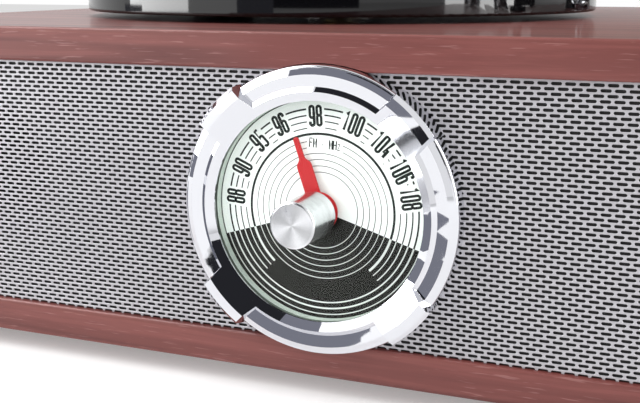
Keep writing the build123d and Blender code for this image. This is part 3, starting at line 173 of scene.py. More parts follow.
# %% [markdown]
# The cabinet is covered with mahogany under gloss lacquer. Its long streaks are noise that is
# stretched along the board, the dark figure is a second, slower noise read many times over, and
# short pale pores lie on top. The coat layer is the lacquer.
# %% Mahogany
def mahogany(name, along):
    material, tree, shader = new_finish(name)
    quick, slow = 190, 6
    stretch = [quick, quick, quick]
    stretch["xyz".index(along)] = slow
    place = local_place(tree, stretch=stretch)
    warp = noise(tree, local_place(tree, stretch=[s / 9 for s in stretch]), 1.0, detail=3)
    figure = calc(tree, "FRACT", calc(tree, "MULTIPLY", warp, 9.0))
    lines = ramp(tree, figure, [(0.0, grey(0.0)), (0.12, grey(0.75)), (0.8, grey(1.0)), (1.0, grey(0.1))])
    streaks = noise(tree, place, 1.0, detail=6, rough=0.65, twist=0.4)
    tones = [
        (0.28, colour(74, 30, 28)),
        (0.45, colour(112, 56, 52)),
        (0.6, colour(134, 74, 69)),
        (0.75, colour(158, 100, 95)),
    ]
    tone = ramp(tree, streaks, tones)
    figured = mix(tree, 0.35, tone, mix(tree, lines, colour(76, 32, 29), colour(140, 78, 72)))
    pore_stretch = [1500, 1500, 1500]
    pore_stretch["xyz".index(along)] = 90
    pores = noise(tree, local_place(tree, stretch=pore_stretch), 1.0, detail=2)
    flecks = ramp(tree, pores, [(0.62, grey(0.0)), (0.72, grey(1.0))])
    fleck_share = calc(tree, "MULTIPLY", flecks, 0.3)
    tree.links.new(mix(tree, fleck_share, figured, colour(186, 138, 134)), shader.inputs["Base Color"])
    shader.inputs["Roughness"].default_value = 0.5
    shader.inputs["Specular IOR Level"].default_value = 0.3
    shader.inputs["Coat Weight"].default_value = 0.3
    shader.inputs["Coat Roughness"].default_value = 0.12
    tree.links.new(bump(tree, streaks, 0.00006, 0.5), shader.inputs["Normal"])
    return material


wood_across = mahogany("mahogany_across", "x")
wood_upright = mahogany("mahogany_upright", "z")
print("finishes", wood_across.name, wood_upright.name)

# %% [markdown]
# Chrome shows only what stands round it, so its own graph is short: full metal, almost no
# roughness, and a trace of polishing haze so that it isn't a perfect mirror.
# %% Metals
def metal(name, shade, rough, haze=0.03, grain=900, metallic=1.0):
    material, tree, shader = new_finish(name)
    wear = noise(tree, local_place(tree), grain, detail=3)
    spread = add_node(tree, "MapRange", {"Value": wear, "To Min": max(rough - haze, 0.0), "To Max": rough + haze})
    tree.links.new(spread.outputs[0], shader.inputs["Roughness"])
    shader.inputs["Base Color"].default_value = shade
    shader.inputs["Metallic"].default_value = metallic
    return material


chrome = metal("chrome", colour(219, 220, 225), 0.02, haze=0.015)
steel = metal("steel", colour(180, 181, 184), 0.28, haze=0.06)
brass = metal("brass", colour(196, 164, 96), 0.3, haze=0.05)
gold = metal("gold_plate", colour(214, 176, 98), 0.18, haze=0.04)
magnet = metal("magnet", colour(70, 70, 72), 0.5, haze=0.08)
print("metals made")

# %% [markdown]
# A turned face has fine rings cut by the lathe tool. They spread a light along lines that run out
# from the centre, which is the fan of bright rays on a knob. The shader's anisotropy does this when
# its tangent follows the rings, and the rings' direction is the axis crossed with the radius. A
# faint eightfold fan of painted highlight, lighter and darker rays in the base colour, keeps the rays
# in view where the room is white all round.
# %% Turned aluminium
def turned(name, middle, axis, painted_fan_side, shade=(232, 233, 236), rough=0.2, ring_pitch=0.00035):
    material, tree, shader = new_finish(name)
    place = add_node(tree, "TexCoord").outputs["Object"]
    radius = add_node(tree, "VectorMath", {0: place, 1: middle}, operation="SUBTRACT").outputs[0]
    around = add_node(tree, "VectorMath", {0: axis, 1: radius}, operation="CROSS_PRODUCT").outputs[0]
    along = add_node(tree, "VectorMath", {0: around}, operation="NORMALIZE").outputs[0]
    tree.links.new(along, shader.inputs["Tangent"])
    distance = add_node(tree, "VectorMath", {0: around}, operation="LENGTH").outputs["Value"]
    rings = noise(tree, add_node(tree, "CombineXYZ", {"X": distance}).outputs[0], 1 / ring_pitch, detail=2)
    spread = add_node(tree, "MapRange", {"Value": rings, "To Min": rough - 0.07, "To Max": rough + 0.07})
    tree.links.new(spread.outputs[0], shader.inputs["Roughness"])
    tree.links.new(bump(tree, rings, 0.000008, 0.6), shader.inputs["Normal"])
    # Painted highlight: the base colour is lighter and darker in eight rays round the middle, set towards one
    # fixed side.
    across = add_node(tree, "VectorMath", {0: along, 1: painted_fan_side}, operation="DOT_PRODUCT").outputs["Value"]
    painted_rays = calc(tree, "COSINE", calc(tree, "MULTIPLY", calc(tree, "ARCCOSINE", across), 4.0))
    painted_fan = calc(tree, "MULTIPLY_ADD", painted_rays, 0.5, 0.5)
    bright, dim = colour(*shade), colour(*(0.86 * value for value in shade))
    tree.links.new(mix(tree, painted_fan, dim, bright), shader.inputs["Base Color"])
    shader.inputs["Metallic"].default_value = 1.0
    shader.inputs["Anisotropic"].default_value = 0.75
    return material


front_axis = (0, -1, 0)
dial_middle = (dial_x, dial_face_y, dial_z)
turned_tuning = turned("turned_tuning", dial_middle, front_axis, (cos(0.4), 0, sin(0.4)))


def turned_upright(node):
    low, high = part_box(node)
    middle = ((low.x + high.x) / 2, (low.y + high.y) / 2, low.z)
    return turned("turned_" + node, middle, (0, 0, 1), (cos(0.4), sin(0.4), 0))


turned_volume = turned_upright("volume_knob")
turned_selector = turned_upright("selector_knob")
print("turned finish made")

# %% [markdown]
# Plastics, rubber and paint differ in gloss and in how their surface breaks a reflection: moulded
# black has a fine grain, rubber is dull and slightly dusty, and the platter is polished.
# %% Plastics, rubber and paint
def coated(name, shade, rough, grain=1500, depth=0.00002, mottle=0.12, coat=0.0, gloss=0.5):
    material, tree, shader = new_finish(name)
    place = local_place(tree)
    specks = noise(tree, place, grain, detail=3)
    cloud = noise(tree, place, 40, detail=2)
    darker = [c * (1 - mottle) for c in shade[:3]] + [1.0]
    lighter = [min(c * (1 + mottle), 1.0) for c in shade[:3]] + [1.0]
    tree.links.new(mix(tree, cloud, darker, lighter), shader.inputs["Base Color"])
    spread = add_node(tree, "MapRange", {"Value": specks, "To Min": rough * 0.85, "To Max": rough * 1.15})
    tree.links.new(spread.outputs[0], shader.inputs["Roughness"])
    if depth:
        tree.links.new(bump(tree, specks, depth, 0.5), shader.inputs["Normal"])
    shader.inputs["Coat Weight"].default_value = coat
    shader.inputs["Specular IOR Level"].default_value = gloss
    return material


black_plastic = coated("black_plastic", colour(34, 34, 36), 0.42)
black_board = coated("black_board", colour(26, 25, 25), 0.7, grain=700, depth=0.00006)
rubber = coated("rubber", colour(30, 30, 31), 0.62, grain=2200, depth=0.00003)
black_gloss = coated("black_gloss", colour(12, 12, 15), 0.05, grain=600, depth=0)
basket = coated("speaker_basket", colour(40, 40, 42), 0.4)
paper = coated("speaker_paper", colour(38, 37, 36), 0.8, grain=2600, depth=0.00008)
dial_white = coated("dial_white", colour(247, 251, 249), 0.8, grain=300, depth=0, mottle=0.01, gloss=0.02)
ink = coated("ink", colour(34, 40, 38), 0.8, grain=300, depth=0, mottle=0.06, gloss=0.02)
pale_ink = coated("pale_ink", colour(216, 220, 218), 0.8, grain=300, depth=0, mottle=0.02, gloss=0.02)
sector_black = coated("sector_black", colour(36, 36, 34), 0.8, grain=300, depth=0, mottle=0.05, gloss=0.02)
pointer_red = coated("pointer_red", colour(180, 40, 44), 0.7, grain=300, depth=0, mottle=0.03, gloss=0.1)
tinted = coated("tinted_acrylic", colour(198, 210, 201), 0.5, grain=300, depth=0, mottle=0.05, gloss=0.1)
stylus_red = coated("stylus_red", colour(180, 40, 40), 0.35)
board_green = coated("circuit_board", colour(40, 96, 58), 0.4)
grille_paint = metal("grille_silver", colour(190, 188, 193), 0.42, haze=0.06, grain=1300, metallic=0.35)
print("coatings made")

# %% [markdown]
# Glass and tinted acrylic let light through. A ray that only asks whether a lamp is in sight would
# stop at the glass and leave the dial dark, so such shadow rays see it as clear.
# %% Glass and acrylic
def clear_sheet(name, shade, index, rough=0.0, shadow_tint=(1, 1, 1, 1)):
    material, tree, shader = new_finish(name)
    shader.inputs["Base Color"].default_value = shade
    shader.inputs["Transmission Weight"].default_value = 1.0
    shader.inputs["IOR"].default_value = index
    wear = noise(tree, local_place(tree), 260, detail=3)
    spread = add_node(tree, "MapRange", {"Value": wear, "To Min": rough, "To Max": rough + 0.004})
    tree.links.new(spread.outputs[0], shader.inputs["Roughness"])
    passing = add_node(tree, "BsdfTransparent", {"Color": shadow_tint})
    light_path = add_node(tree, "LightPath")
    chooser = add_node(
        tree,
        "MixShader",
        {0: light_path.outputs["Is Shadow Ray"], 1: shader.outputs[0], 2: passing.outputs[0]},
    )
    tree.links.new(chooser.outputs[0], tree.nodes["Material Output"].inputs["Surface"])
    return material


dial_glass = clear_sheet("dial_glass", colour(252, 254, 253), 1.18)
smoked = clear_sheet("smoked_acrylic", colour(168, 160, 154), 1.42, rough=0.01, shadow_tint=grey(0.45))
print("clear sheets made")

# %% [markdown]
# Every CAD node keeps its shape and takes the finish of its slot. Boards run their grain along
# their length, so the two sides take the upright grain.
# %% Finish the CAD nodes
finish_of_slot = {
    "mahogany": wood_across,
    "black_board": black_board,
    "grille_silver": grille_paint,
    "chrome": chrome,
    "turned_aluminium": steel,
    "steel": steel,
    "brass": brass,
    "gold_plate": gold,
    "dial_print": dial_white,
    "clear_glass": dial_glass,
    "tinted_acrylic": tinted,
    "red_pointer": pointer_red,
    "black_gloss": black_gloss,
    "black_plastic": black_plastic,
    "stylus_red": stylus_red,
    "rubber": rubber,
    "speaker_basket": basket,
    "speaker_paper": paper,
    "magnet": magnet,
    "circuit_board": board_green,
    "smoked_acrylic": smoked,
}
finish_of_node = {node: finish_of_slot[slot] for node, slot in slot_of_node.items()}
finish_of_node["left_side"] = wood_upright
finish_of_node["right_side"] = wood_upright
finish_of_node["tuning_knob"] = turned_tuning
finish_of_node["volume_knob"] = turned_volume
finish_of_node["selector_knob"] = turned_selector
for node, thing in nodes.items():
    thing.data.materials.clear()
    thing.data.materials.append(finish_of_node[node])
print("finished", len(finish_of_node), "nodes")

# %% [markdown]
# CAD meshes are flat facets with hard edges. Real edges are broken by polishing, moulding or
# sanding, and it is their thin highlights that make a part look real. So each node whose edges show
# gets a joined copy with a small bevel and smooth shading, and the copy stands for the node.
# %% Helpers for pieces
smooth_below = 28


def choose_only(piece):
    bpy.ops.object.select_all(action="DESELECT")
    piece.select_set(True)
    bpy.context.view_layer.objects.active = piece


def edit_all(piece):
    choose_only(piece)
    bpy.ops.object.mode_set(mode="EDIT")
    bpy.ops.mesh.select_all(action="SELECT")


def leave_edit():
    bpy.ops.object.mode_set(mode="OBJECT")


def apply_modifier(piece, kind, **options):
    choose_only(piece)
    made = piece.modifiers.new(kind.lower(), kind)
    for name, value in options.items():
        setattr(made, name, value)
    bpy.ops.object.modifier_apply(modifier=made.name)


def settle(piece, name, node, finish, replaces=False):
    """Names a finished piece, gives it its finish and lets it ride with the body of a CAD node."""
    choose_only(piece)
    bpy.ops.object.transform_apply(location=True, rotation=True, scale=True)
    piece.name = name
    piece.data.name = name
    piece.data.materials.clear()
    piece.data.materials.append(finish)
    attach(piece, body_of_node[node])
    if replaces:
        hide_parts(node)
    return piece


def polished_copy(node, edge, sharp):
    piece = bpy.data.objects.new(node + "_dressed", nodes[node].data.copy())
    bpy.context.scene.collection.objects.link(piece)
    edit_all(piece)
    bpy.ops.mesh.remove_doubles(threshold=0.000002)
    bpy.ops.mesh.dissolve_limited(angle_limit=radians(0.4))
    bpy.ops.mesh.customdata_custom_splitnormals_clear()
    leave_edit()
    if edge:
        apply_modifier(piece, "BEVEL", width=edge, segments=2, limit_method="ANGLE", angle_limit=radians(sharp))
    choose_only(piece)
    bpy.ops.object.shade_smooth_by_angle(angle=radians(sharp))
    apply_modifier(piece, "WEIGHTED_NORMAL", mode="FACE_AREA", weight=100, keep_sharp=True)
    return settle(piece, node + "_dressed", node, finish_of_node[node], replaces=True)


no_edge = 0.0
hair_edge = 0.0001
soft_edge = 0.0002
moulded_edge = 0.0003
board_edge = 0.0004
ring_step = 18
board_corner = 40
polished = {
    "dial_bezel": (soft_edge, ring_step),
    "tuning_knob": (soft_edge, smooth_below),
    "pointer": (hair_edge, smooth_below),
    "platter": (no_edge, smooth_below),
    "tonearm_base": (no_edge, smooth_below),
    "counterweight": (soft_edge, smooth_below),
    "tonearm_tube": (no_edge, smooth_below),
    "volume_knob": (soft_edge, smooth_below),
    "selector_knob": (soft_edge, smooth_below),
    "spindle": (hair_edge, smooth_below),
    "arm_block": (soft_edge, smooth_below),
    "arm_turret": (soft_edge, smooth_below),
    "headshell": (soft_edge, smooth_below),
    "cartridge": (soft_edge, smooth_below),
    "cue_lift": (hair_edge, smooth_below),
    "cue_lever": (soft_edge, smooth_below),
    "arm_rest": (soft_edge, smooth_below),
    "speed_lever": (soft_edge, smooth_below),
    "single_adapter": (soft_edge, smooth_below),
    "hinge_arms": (soft_edge, smooth_below),
    "hinge_blocks": (soft_edge, smooth_below),
    "feet": (moulded_edge, smooth_below),
    "rca_sockets": (hair_edge, smooth_below),
    "mains_inlet": (hair_edge, smooth_below),
    "dust_cover": (moulded_edge, smooth_below),
    "deck_board": (board_edge, board_corner),
    "bottom_board": (board_edge, board_corner),
    "left_side": (board_edge, board_corner),
    "right_side": (board_edge, board_corner),
}
for node, (edge, sharp) in polished.items():
    made = polished_copy(node, edge, sharp)
    print(made.name, len(made.data.polygons), "faces")

# %% [markdown]
# The grille is one sheet punched with short rounded slots, laid like bricks. One tile of the sheet
# is made: a ring of points is pulled apart into a slot, its rim is pushed in for the
# punched edge, and a wall goes back through the metal. A frame of points closes round it, in front
# and behind. Two tiles, half a slot apart, then repeat over the whole sheet.
# %% Grille tile
slot_pitch = 4.0 * mm
row_pitch = 1.5633 * mm
slot_length = 3.36 * mm
slot_width = 1.18 * mm
punched_edge = 0.08 * mm
slot_points = 10
sheet_depth = 0.35 * mm


def select_where(piece, test):
    """Selects the points of a piece in edit mode whose place passes a test, and what lies between them."""
    bpy.ops.object.mode_set(mode="OBJECT")
    chosen = [test(vertex.co) for vertex in piece.data.vertices]
    for vertex, picked in zip(piece.data.vertices, chosen):
        vertex.select = picked
    for edge in piece.data.edges:
        edge.select = all(chosen[index] for index in edge.vertices)
    for face in piece.data.polygons:
        face.select = all(chosen[index] for index in face.vertices)
    bpy.ops.object.mode_set(mode="EDIT")


def push(x=0.0, y=0.0, z=0.0):
    bpy.ops.transform.translate(value=(x, y, z))


def extrude_rim(x=0.0, y=0.0, z=0.0):
    bpy.ops.mesh.extrude_edges_move(TRANSFORM_OT_translate={"value": (x, y, z)})


def tile_frame(depth):
    """Eight border points of a tile, four corners and four middles, at a depth."""
    bpy.ops.mesh.select_all(action="DESELECT")
    bpy.ops.mesh.primitive_plane_add(size=1, location=(0, 0, depth))
    bpy.ops.transform.resize(value=(slot_pitch, row_pitch, 1))
    bpy.ops.mesh.subdivide(number_cuts=1)


def grille_tile():
    """One tile round the origin, flat in XY with its face towards +Z."""
    bpy.ops.object.select_all(action="DESELECT")
    start_angle = pi / slot_points
    bpy.ops.mesh.primitive_circle_add(vertices=slot_points, radius=slot_width / 2, rotation=(0, 0, start_angle))
    tile = bpy.context.object
    bpy.ops.object.transform_apply(rotation=True)
    bpy.ops.object.mode_set(mode="EDIT")
    bpy.ops.mesh.select_mode(type="VERT")
    reach = (slot_length - slot_width) / 2
    select_where(tile, lambda co: co.x > 0)
    push(x=reach)
    select_where(tile, lambda co: co.x < 0)
    push(x=-reach)
    bpy.ops.mesh.select_all(action="SELECT")
    extrude_rim(z=-punched_edge)
    across = (slot_width - 2 * punched_edge) / slot_width
    lengthwise = (slot_length - 2 * punched_edge) / slot_length
    bpy.ops.transform.resize(value=(lengthwise, across, 1))
    extrude_rim(z=punched_edge - sheet_depth)
    tile_frame(0)
    tile_frame(-sheet_depth)
    select_where(tile, lambda co: hypot(co.x, co.y) < slot_width / 20)
    bpy.ops.mesh.delete(type="VERT")
    for depth in (0, -sheet_depth):
        select_where(tile, lambda co: abs(co.z - depth) < punched_edge / 2)
        bpy.ops.mesh.fill()
    leave_edit()
    return tile


tile = grille_tile()
print("tile", len(tile.data.vertices), "points", len(tile.data.polygons), "faces")

# %% [markdown]
# The rows were lined up with the photograph: the dial's middle lies a known part of a row above a
# row of slots, and a known part of a slot to the right of one. The sheet is trimmed by four cuts,
# opened behind the dial's ring, and split in two so that neither half is too heavy.
# %% Grille sheet
row_phase = -0.31
slot_phase = -0.32
columns = ceil((grille_high.x - grille_low.x) / slot_pitch) + 3
row_pairs = ceil((grille_high.z - grille_low.z) / row_pitch / 2) + 2
bezel_low, bezel_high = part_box("dial_bezel")
grille_hole = 0.93 * (bezel_high.x - bezel_low.x) / 2


def cut_away(piece, place, outward, fill=True):
    edit_all(piece)
    bpy.ops.mesh.bisect(plane_co=place, plane_no=outward, use_fill=fill, clear_outer=True)
    leave_edit()


def grille_sheet(tile):
    choose_only(tile)
    bpy.ops.object.mode_set(mode="EDIT")
    bpy.ops.mesh.select_all(action="SELECT")
    bpy.ops.mesh.duplicate_move(TRANSFORM_OT_translate={"value": (slot_pitch / 2, row_pitch, 0)})
    leave_edit()
    for count, step in ((columns, (slot_pitch, 0, 0)), (row_pairs, (0, 2 * row_pitch, 0))):
        apply_modifier(
            tile,
            "ARRAY",
            count=count,
            use_relative_offset=False,
            use_constant_offset=True,
            constant_offset_displace=step,
        )
    first_x = dial_x + (slot_phase - columns // 2) * slot_pitch
    first_z = dial_z + (row_phase - row_pairs) * row_pitch
    tile.rotation_euler = (pi / 2, 0, 0)
    tile.location = (first_x, grille_y, first_z)
    bpy.ops.object.transform_apply(location=True, rotation=True)
    edit_all(tile)
    bpy.ops.mesh.remove_doubles(threshold=0.01 * mm)
    select_where(tile, lambda co: hypot(co.x - dial_x, co.z - dial_z) < grille_hole)
    bpy.ops.mesh.delete(type="VERT")
    leave_edit()
    cut_away(tile, grille_low, (-1, 0, 0))
    cut_away(tile, grille_low, (0, 0, -1))
    cut_away(tile, grille_high, (1, 0, 0))
    cut_away(tile, grille_high, (0, 0, 1))
    return tile


sheet = grille_sheet(tile)
edit_all(sheet)
bpy.ops.mesh.normals_make_consistent(inside=False)
leave_edit()
other = sheet.copy()
other.data = sheet.data.copy()
bpy.context.scene.collection.objects.link(other)
cut_away(sheet, (dial_x, 0, 0), (1, 0, 0))
cut_away(other, (dial_x, 0, 0), (-1, 0, 0))
for half, name in ((sheet, "grille_left"), (other, "grille_right")):
    settle(half, name, "speaker_grille", grille_paint)
    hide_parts("speaker_grille")
    print(name, sum(len(face.vertices) - 2 for face in half.data.polygons), "triangles")

# %% [markdown]
# The dial is printed. Each line is a thin ribbon swept round the dial's middle by the spin tool,
# and given the thickness of a film of ink. Lines on the white part are dark, and the same circles
# run on in white over the black lower sector.
# %% Dial lines
ink_depth = 0.03 * mm
sector_edge = 17.4
step_angle = 3.0
axis_point = (dial_x, dial_face_y, dial_z)


def on_dial(radius, angle, forward=0.0):
    """A place on the dial's face, by its distance from the middle and its angle from the right."""
    turned_by = radians(angle)
    return (dial_x + radius * cos(turned_by), dial_face_y - forward, dial_z + radius * sin(turned_by))


def round_dial(piece, angle):
    """Turns a finished piece round the dial's middle, anticlockwise as it is seen, into its mesh."""
    centre = Matrix.Translation(axis_point)
    piece.matrix_world = centre @ Matrix.Rotation(-radians(angle), 4, "Y") @ centre.inverted() @ piece.matrix_world
    choose_only(piece)
    bpy.ops.object.transform_apply(location=True, rotation=True, scale=True)


def swept_line(radius, width, start, end, forward=0.0):
    """A flat ribbon along an arc, from one angle to another in degrees, anticlockwise."""
    bpy.ops.object.select_all(action="DESELECT")
    bpy.ops.mesh.primitive_plane_add(size=width, location=on_dial(radius, 0, forward))
    ribbon = bpy.context.object
    bpy.ops.object.transform_apply(location=True)
    select_where(ribbon, lambda co: co.y > dial_face_y - forward)
    bpy.ops.mesh.delete(type="VERT")
    bpy.ops.mesh.select_all(action="SELECT")
    push(y=width / 2)
    steps = max(1, ceil((end - start) / step_angle))
    bpy.ops.mesh.spin(steps=steps, angle=radians(end - start), center=axis_point, axis=(0, 1, 0))
    bpy.ops.mesh.select_all(action="SELECT")
    bpy.ops.mesh.remove_doubles(threshold=0.001 * mm)
    leave_edit()
    round_dial(ribbon, start)
    return ribbon


def join_all(pieces):
    bpy.ops.object.select_all(action="DESELECT")
    for piece in pieces:
        piece.select_set(True)
    bpy.context.view_layer.objects.active = pieces[0]
    bpy.ops.object.join()
    return bpy.context.object


def as_ink(piece, name, finish, depth=ink_depth):
    """Gives a flat print its film of ink: faces turned to the front, then a wall of the film's depth."""
    edit_all(piece)
    bpy.ops.mesh.normals_make_consistent(inside=False)
    leave_edit()
    if sum(face.normal.y * face.area for face in piece.data.polygons) > 0:
        edit_all(piece)
        bpy.ops.mesh.flip_normals()
        leave_edit()
    apply_modifier(piece, "SOLIDIFY", thickness=depth, offset=1.0)
    return settle(piece, name, "dial_plate", finish)


# %% [markdown]
# The numbers are a narrow upright type with one even stroke and round turns. A digit could come
# from a font, but a font's strokes change when it is squeezed this narrow. So each digit is drawn
# as the line a pen would follow, and a round brush along that line is pressed flat into ink.
# %% Digits as pen lines
digit_height = 7.1 * mm
digit_width = 2.35 * mm
digit_gap = 0.08 * mm
pen = 1.0 * mm
turn_steps = 6


def arc_points(x, y, radius_x, radius_y, start, end):
    steps = max(2, ceil(abs(end - start) / (90 / turn_steps)))
    angles = [radians(start + (end - start) * step / steps) for step in range(steps + 1)]
    return [(x + radius_x * cos(angle), y + radius_y * sin(angle)) for angle in angles]


def oval(low, high):
    """A closed loop with straight sides and round ends, one unit wide."""
    bow = 0.5 * (digit_width - pen) / (digit_height - pen)
    return arc_points(0, high - bow, 0.5, bow, 0, 180) + arc_points(0, low + bow, 0.5, bow, 180, 360)


def digit_lines(digit):
    """Pen lines of one digit in a box one unit wide and one high, and whether each is a loop."""
    bow = 0.5 * (digit_width - pen) / (digit_height - pen)
    if digit == "0":
        return [(oval(0, 1), True)]
    if digit == "8":
        return [(oval(0.52, 1), True), (oval(0, 0.52), True)]
    if digit == "1":
        return [([(-0.35, 0.84), (-0.05, 0.9), (0.15, 1), (0.15, 0)], False)]
    if digit == "4":
        return [([(0.5, 0.26), (-0.5, 0.26), (0.1, 1)], False), ([(0.22, 0.5), (0.22, 0)], False)]
    if digit == "5":
        bowl = arc_points(0, 0.6 - bow, 0.5, bow, 125, 0) + arc_points(0, bow, 0.5, bow, 0, -180)
        return [([(0.45, 1), (-0.38, 1), (-0.45, 0.53)] + bowl, False)]
    stem = arc_points(0, 1 - bow, 0.5, bow, 0, 180) + [(-0.5, 0.3)]
    lines = [([(0.5, 0.8)] + stem, False), (oval(0, 0.6), True)]
    if digit == "9":
        lines = [([(-x, 1 - y) for x, y in points], closed) for points, closed in lines]
    return lines


def pen_stroke(points, closed, pen=pen):
    """A brushed line on the dial, upright at its top, pressed to the depth of the ink."""
    curve = bpy.data.curves.new("pen", "CURVE")
    curve.dimensions = "3D"
    curve.bevel_depth = pen / 2
    curve.bevel_resolution = 1
    curve.use_fill_caps = True
    spline = curve.splines.new("POLY")
    spline.points.add(len(points) - 1)
    for point, (x, z) in zip(spline.points, points):
        point.co = (x, 0, z, 1)
    spline.use_cyclic_u = closed
    stroke = bpy.data.objects.new("pen", curve)
    bpy.context.scene.collection.objects.link(stroke)
    choose_only(stroke)
    bpy.ops.object.convert(target="MESH")
    stroke = bpy.context.object
    press = Matrix.Diagonal((1, 2 * ink_depth / pen, 1, 1))
    stroke.matrix_world = Matrix.Translation((dial_x, dial_face_y, dial_z)) @ press
    bpy.ops.object.transform_apply(location=True, rotation=True, scale=True)
    return stroke


def number_width(words):
    return len(words) * digit_width + (len(words) - 1) * digit_gap


def print_number(words, radius, angle):
    wide, high = digit_width - pen, digit_height - pen
    strokes = []
    for place, digit in enumerate(words):
        centre = (place + 0.5) * digit_width + place * digit_gap - number_width(words) / 2
        for points, closed in digit_lines(digit):
            placed = [(centre + x * wide, radius + (z - 0.5) * high) for x, z in points]
            strokes.append(pen_stroke(placed, closed))
    number = join_all(strokes)
    round_dial(number, angle - 90)
    return number


print("pen lines for", list("0145689"))

# %% [markdown]
# The numbers stand round the dial with their tops outward. The outer four arcs stop at each side
# of a number, and two inner circles stop at the words under the top. The arcs grow heavier outward.
# %% Numbers and arcs
number_radius = 30.5 * mm
number_margin = 0.7 * mm
stations = {
    "88": 175.6,
    "90": 156.5,
    "95": 135.5,
    "96": 117.5,
    "98": 93.7,
    "100": 69.5,
    "104": 47.8,
    "106": 28.5,
    "108": 11.6,
}
outer_arcs = {32.75 * mm: 0.55 * mm, 30.75 * mm: 0.44 * mm, 28.75 * mm: 0.38 * mm, 26.7 * mm: 0.32 * mm}
edge_ring = (35.9 * mm, 0.34 * mm)
pale_edge = (34.75 * mm, 0.34 * mm)
thick_ring = (24.75 * mm, 0.78 * mm)
inner_rings = [12.45 * mm, 14.45 * mm, 16.5 * mm, 18.5 * mm, 20.55 * mm, 22.55 * mm]
inner_line = 0.23 * mm
white_start = -sector_edge
white_end = 180 + sector_edge


letter_lines = {
    "F": [[(-0.5, 0), (-0.5, 1), (0.5, 1)], [(-0.5, 0.54), (0.35, 0.54)]],
    "M": [[(-0.5, 0), (-0.5, 1)], [(-0.5, 1), (0, 0.3), (0.5, 1)], [(0.5, 1), (0.5, 0)]],
    "H": [[(-0.5, 0), (-0.5, 1)], [(0.5, 0), (0.5, 1)], [(-0.5, 0.52), (0.5, 0.52)]],
    "z": [[(-0.4, 0.66), (0.4, 0.66), (-0.4, 0), (0.4, 0)]],
    "-": [[(-0.2, 0.4), (0.2, 0.4)]],
    " ": [],
}


def print_letters(words, radius, angle):
    """Small letters drawn with a finer pen, set on the dial at a radius and an angle."""
    strokes = []
    for place, letter in enumerate(words):
        centre = (place - (len(words) - 1) / 2) * letter_pitch
        for points in letter_lines[letter]:
            placed = [(centre + x * letter_width, radius + (z - 0.5) * letter_height) for x, z in points]
            strokes.append(pen_stroke(placed, False, letter_pen))
    letters = join_all(strokes)
    round_dial(letters, angle - 90)
    return letters


def gaps_at(radius):
    """The stretches of an arc between the numbers, as start and end angles."""
    edges = []
    for words, angle in sorted(stations.items(), key=lambda item: item[1]):
        half = degrees(asin((number_width(words) / 2 + number_margin) / radius))
        edges.append((angle - half, angle + half))
    starts = [white_start] + [high for low, high in edges]
    ends = [low for low, high in edges] + [white_end]
    return [(start, end) for start, end in zip(starts, ends) if end - start > 0.5]


words_text = "FM - MHz"
words_angle = 86.7
words_radius = 21.55 * mm
words_height = 3.4 * mm
words_width = 10.8 * mm
letter_height = 2.9 * mm
letter_width = 0.95 * mm
letter_pitch = 1.36 * mm
letter_pen = 0.42 * mm
numbers = [print_number(words, number_radius, angle) for words, angle in stations.items()]
numbers = join_all(numbers + [print_letters(words_text, words_radius, words_angle)])
edit_all(numbers)
bpy.ops.mesh.normals_make_consistent(inside=False)
leave_edit()
settle(numbers, "dial_numbers", "dial_plate", ink)
dark = []
for radius, width in outer_arcs.items():
    dark += [swept_line(radius, width, start, end) for start, end in gaps_at(radius)]
dark.append(swept_line(*thick_ring, white_start, white_end))
dark.append(swept_line(*edge_ring, white_start, white_end))
for radius in inner_rings:
    if abs(radius - words_radius) < words_height / 2:
        half = degrees(asin((words_width / 2 + number_margin) / radius))
        dark.append(swept_line(radius, inner_line, white_start, words_angle - half))
        dark.append(swept_line(radius, inner_line, words_angle + half, white_end))
    else:
        dark.append(swept_line(radius, inner_line, white_start, white_end))
dark_print = as_ink(join_all(dark), "dial_print_dark", ink)
print("dark print", len(dark_print.data.polygons), "faces")

# %% [markdown]
# The lower sector is printed black and the circles cross it in white. The place between the middle
# circles and the rim is left bare here, so three of the arcs stop at its sides.
# %% Black sector
plate_radius = (plate_high.x - plate_low.x) / 2
bare_start = 228.0
bare_end = 312.0
sector_inner = 3.4 * mm
sector_middle = (sector_inner + plate_radius) / 2
sector_width = plate_radius - sector_inner - 0.2 * mm
sector = swept_line(sector_middle, sector_width, white_end, 360 + white_start)
as_ink(sector, "dial_sector", sector_black)
pale = []
for radius in inner_rings:
    pale.append(swept_line(radius, inner_line, white_end, 360 + white_start, ink_depth))
pale.append(swept_line(*pale_edge, white_end, 360 + white_start, ink_depth))
pale.append(swept_line(*thick_ring, white_end, bare_start, ink_depth))
pale.append(swept_line(*thick_ring, bare_end, 360 + white_start, ink_depth))
for radius, width in outer_arcs.items():
    if radius < number_radius:
        pale.append(swept_line(radius, width, white_end, bare_start, ink_depth))
        pale.append(swept_line(radius, width, bare_end, 360 + white_start, ink_depth))
    else:
        pale.append(swept_line(radius, width, white_end, 360 + white_start, ink_depth))
pale_print = as_ink(join_all(pale), "dial_print_pale", pale_ink)
print("pale print", len(pale_print.data.polygons), "faces")

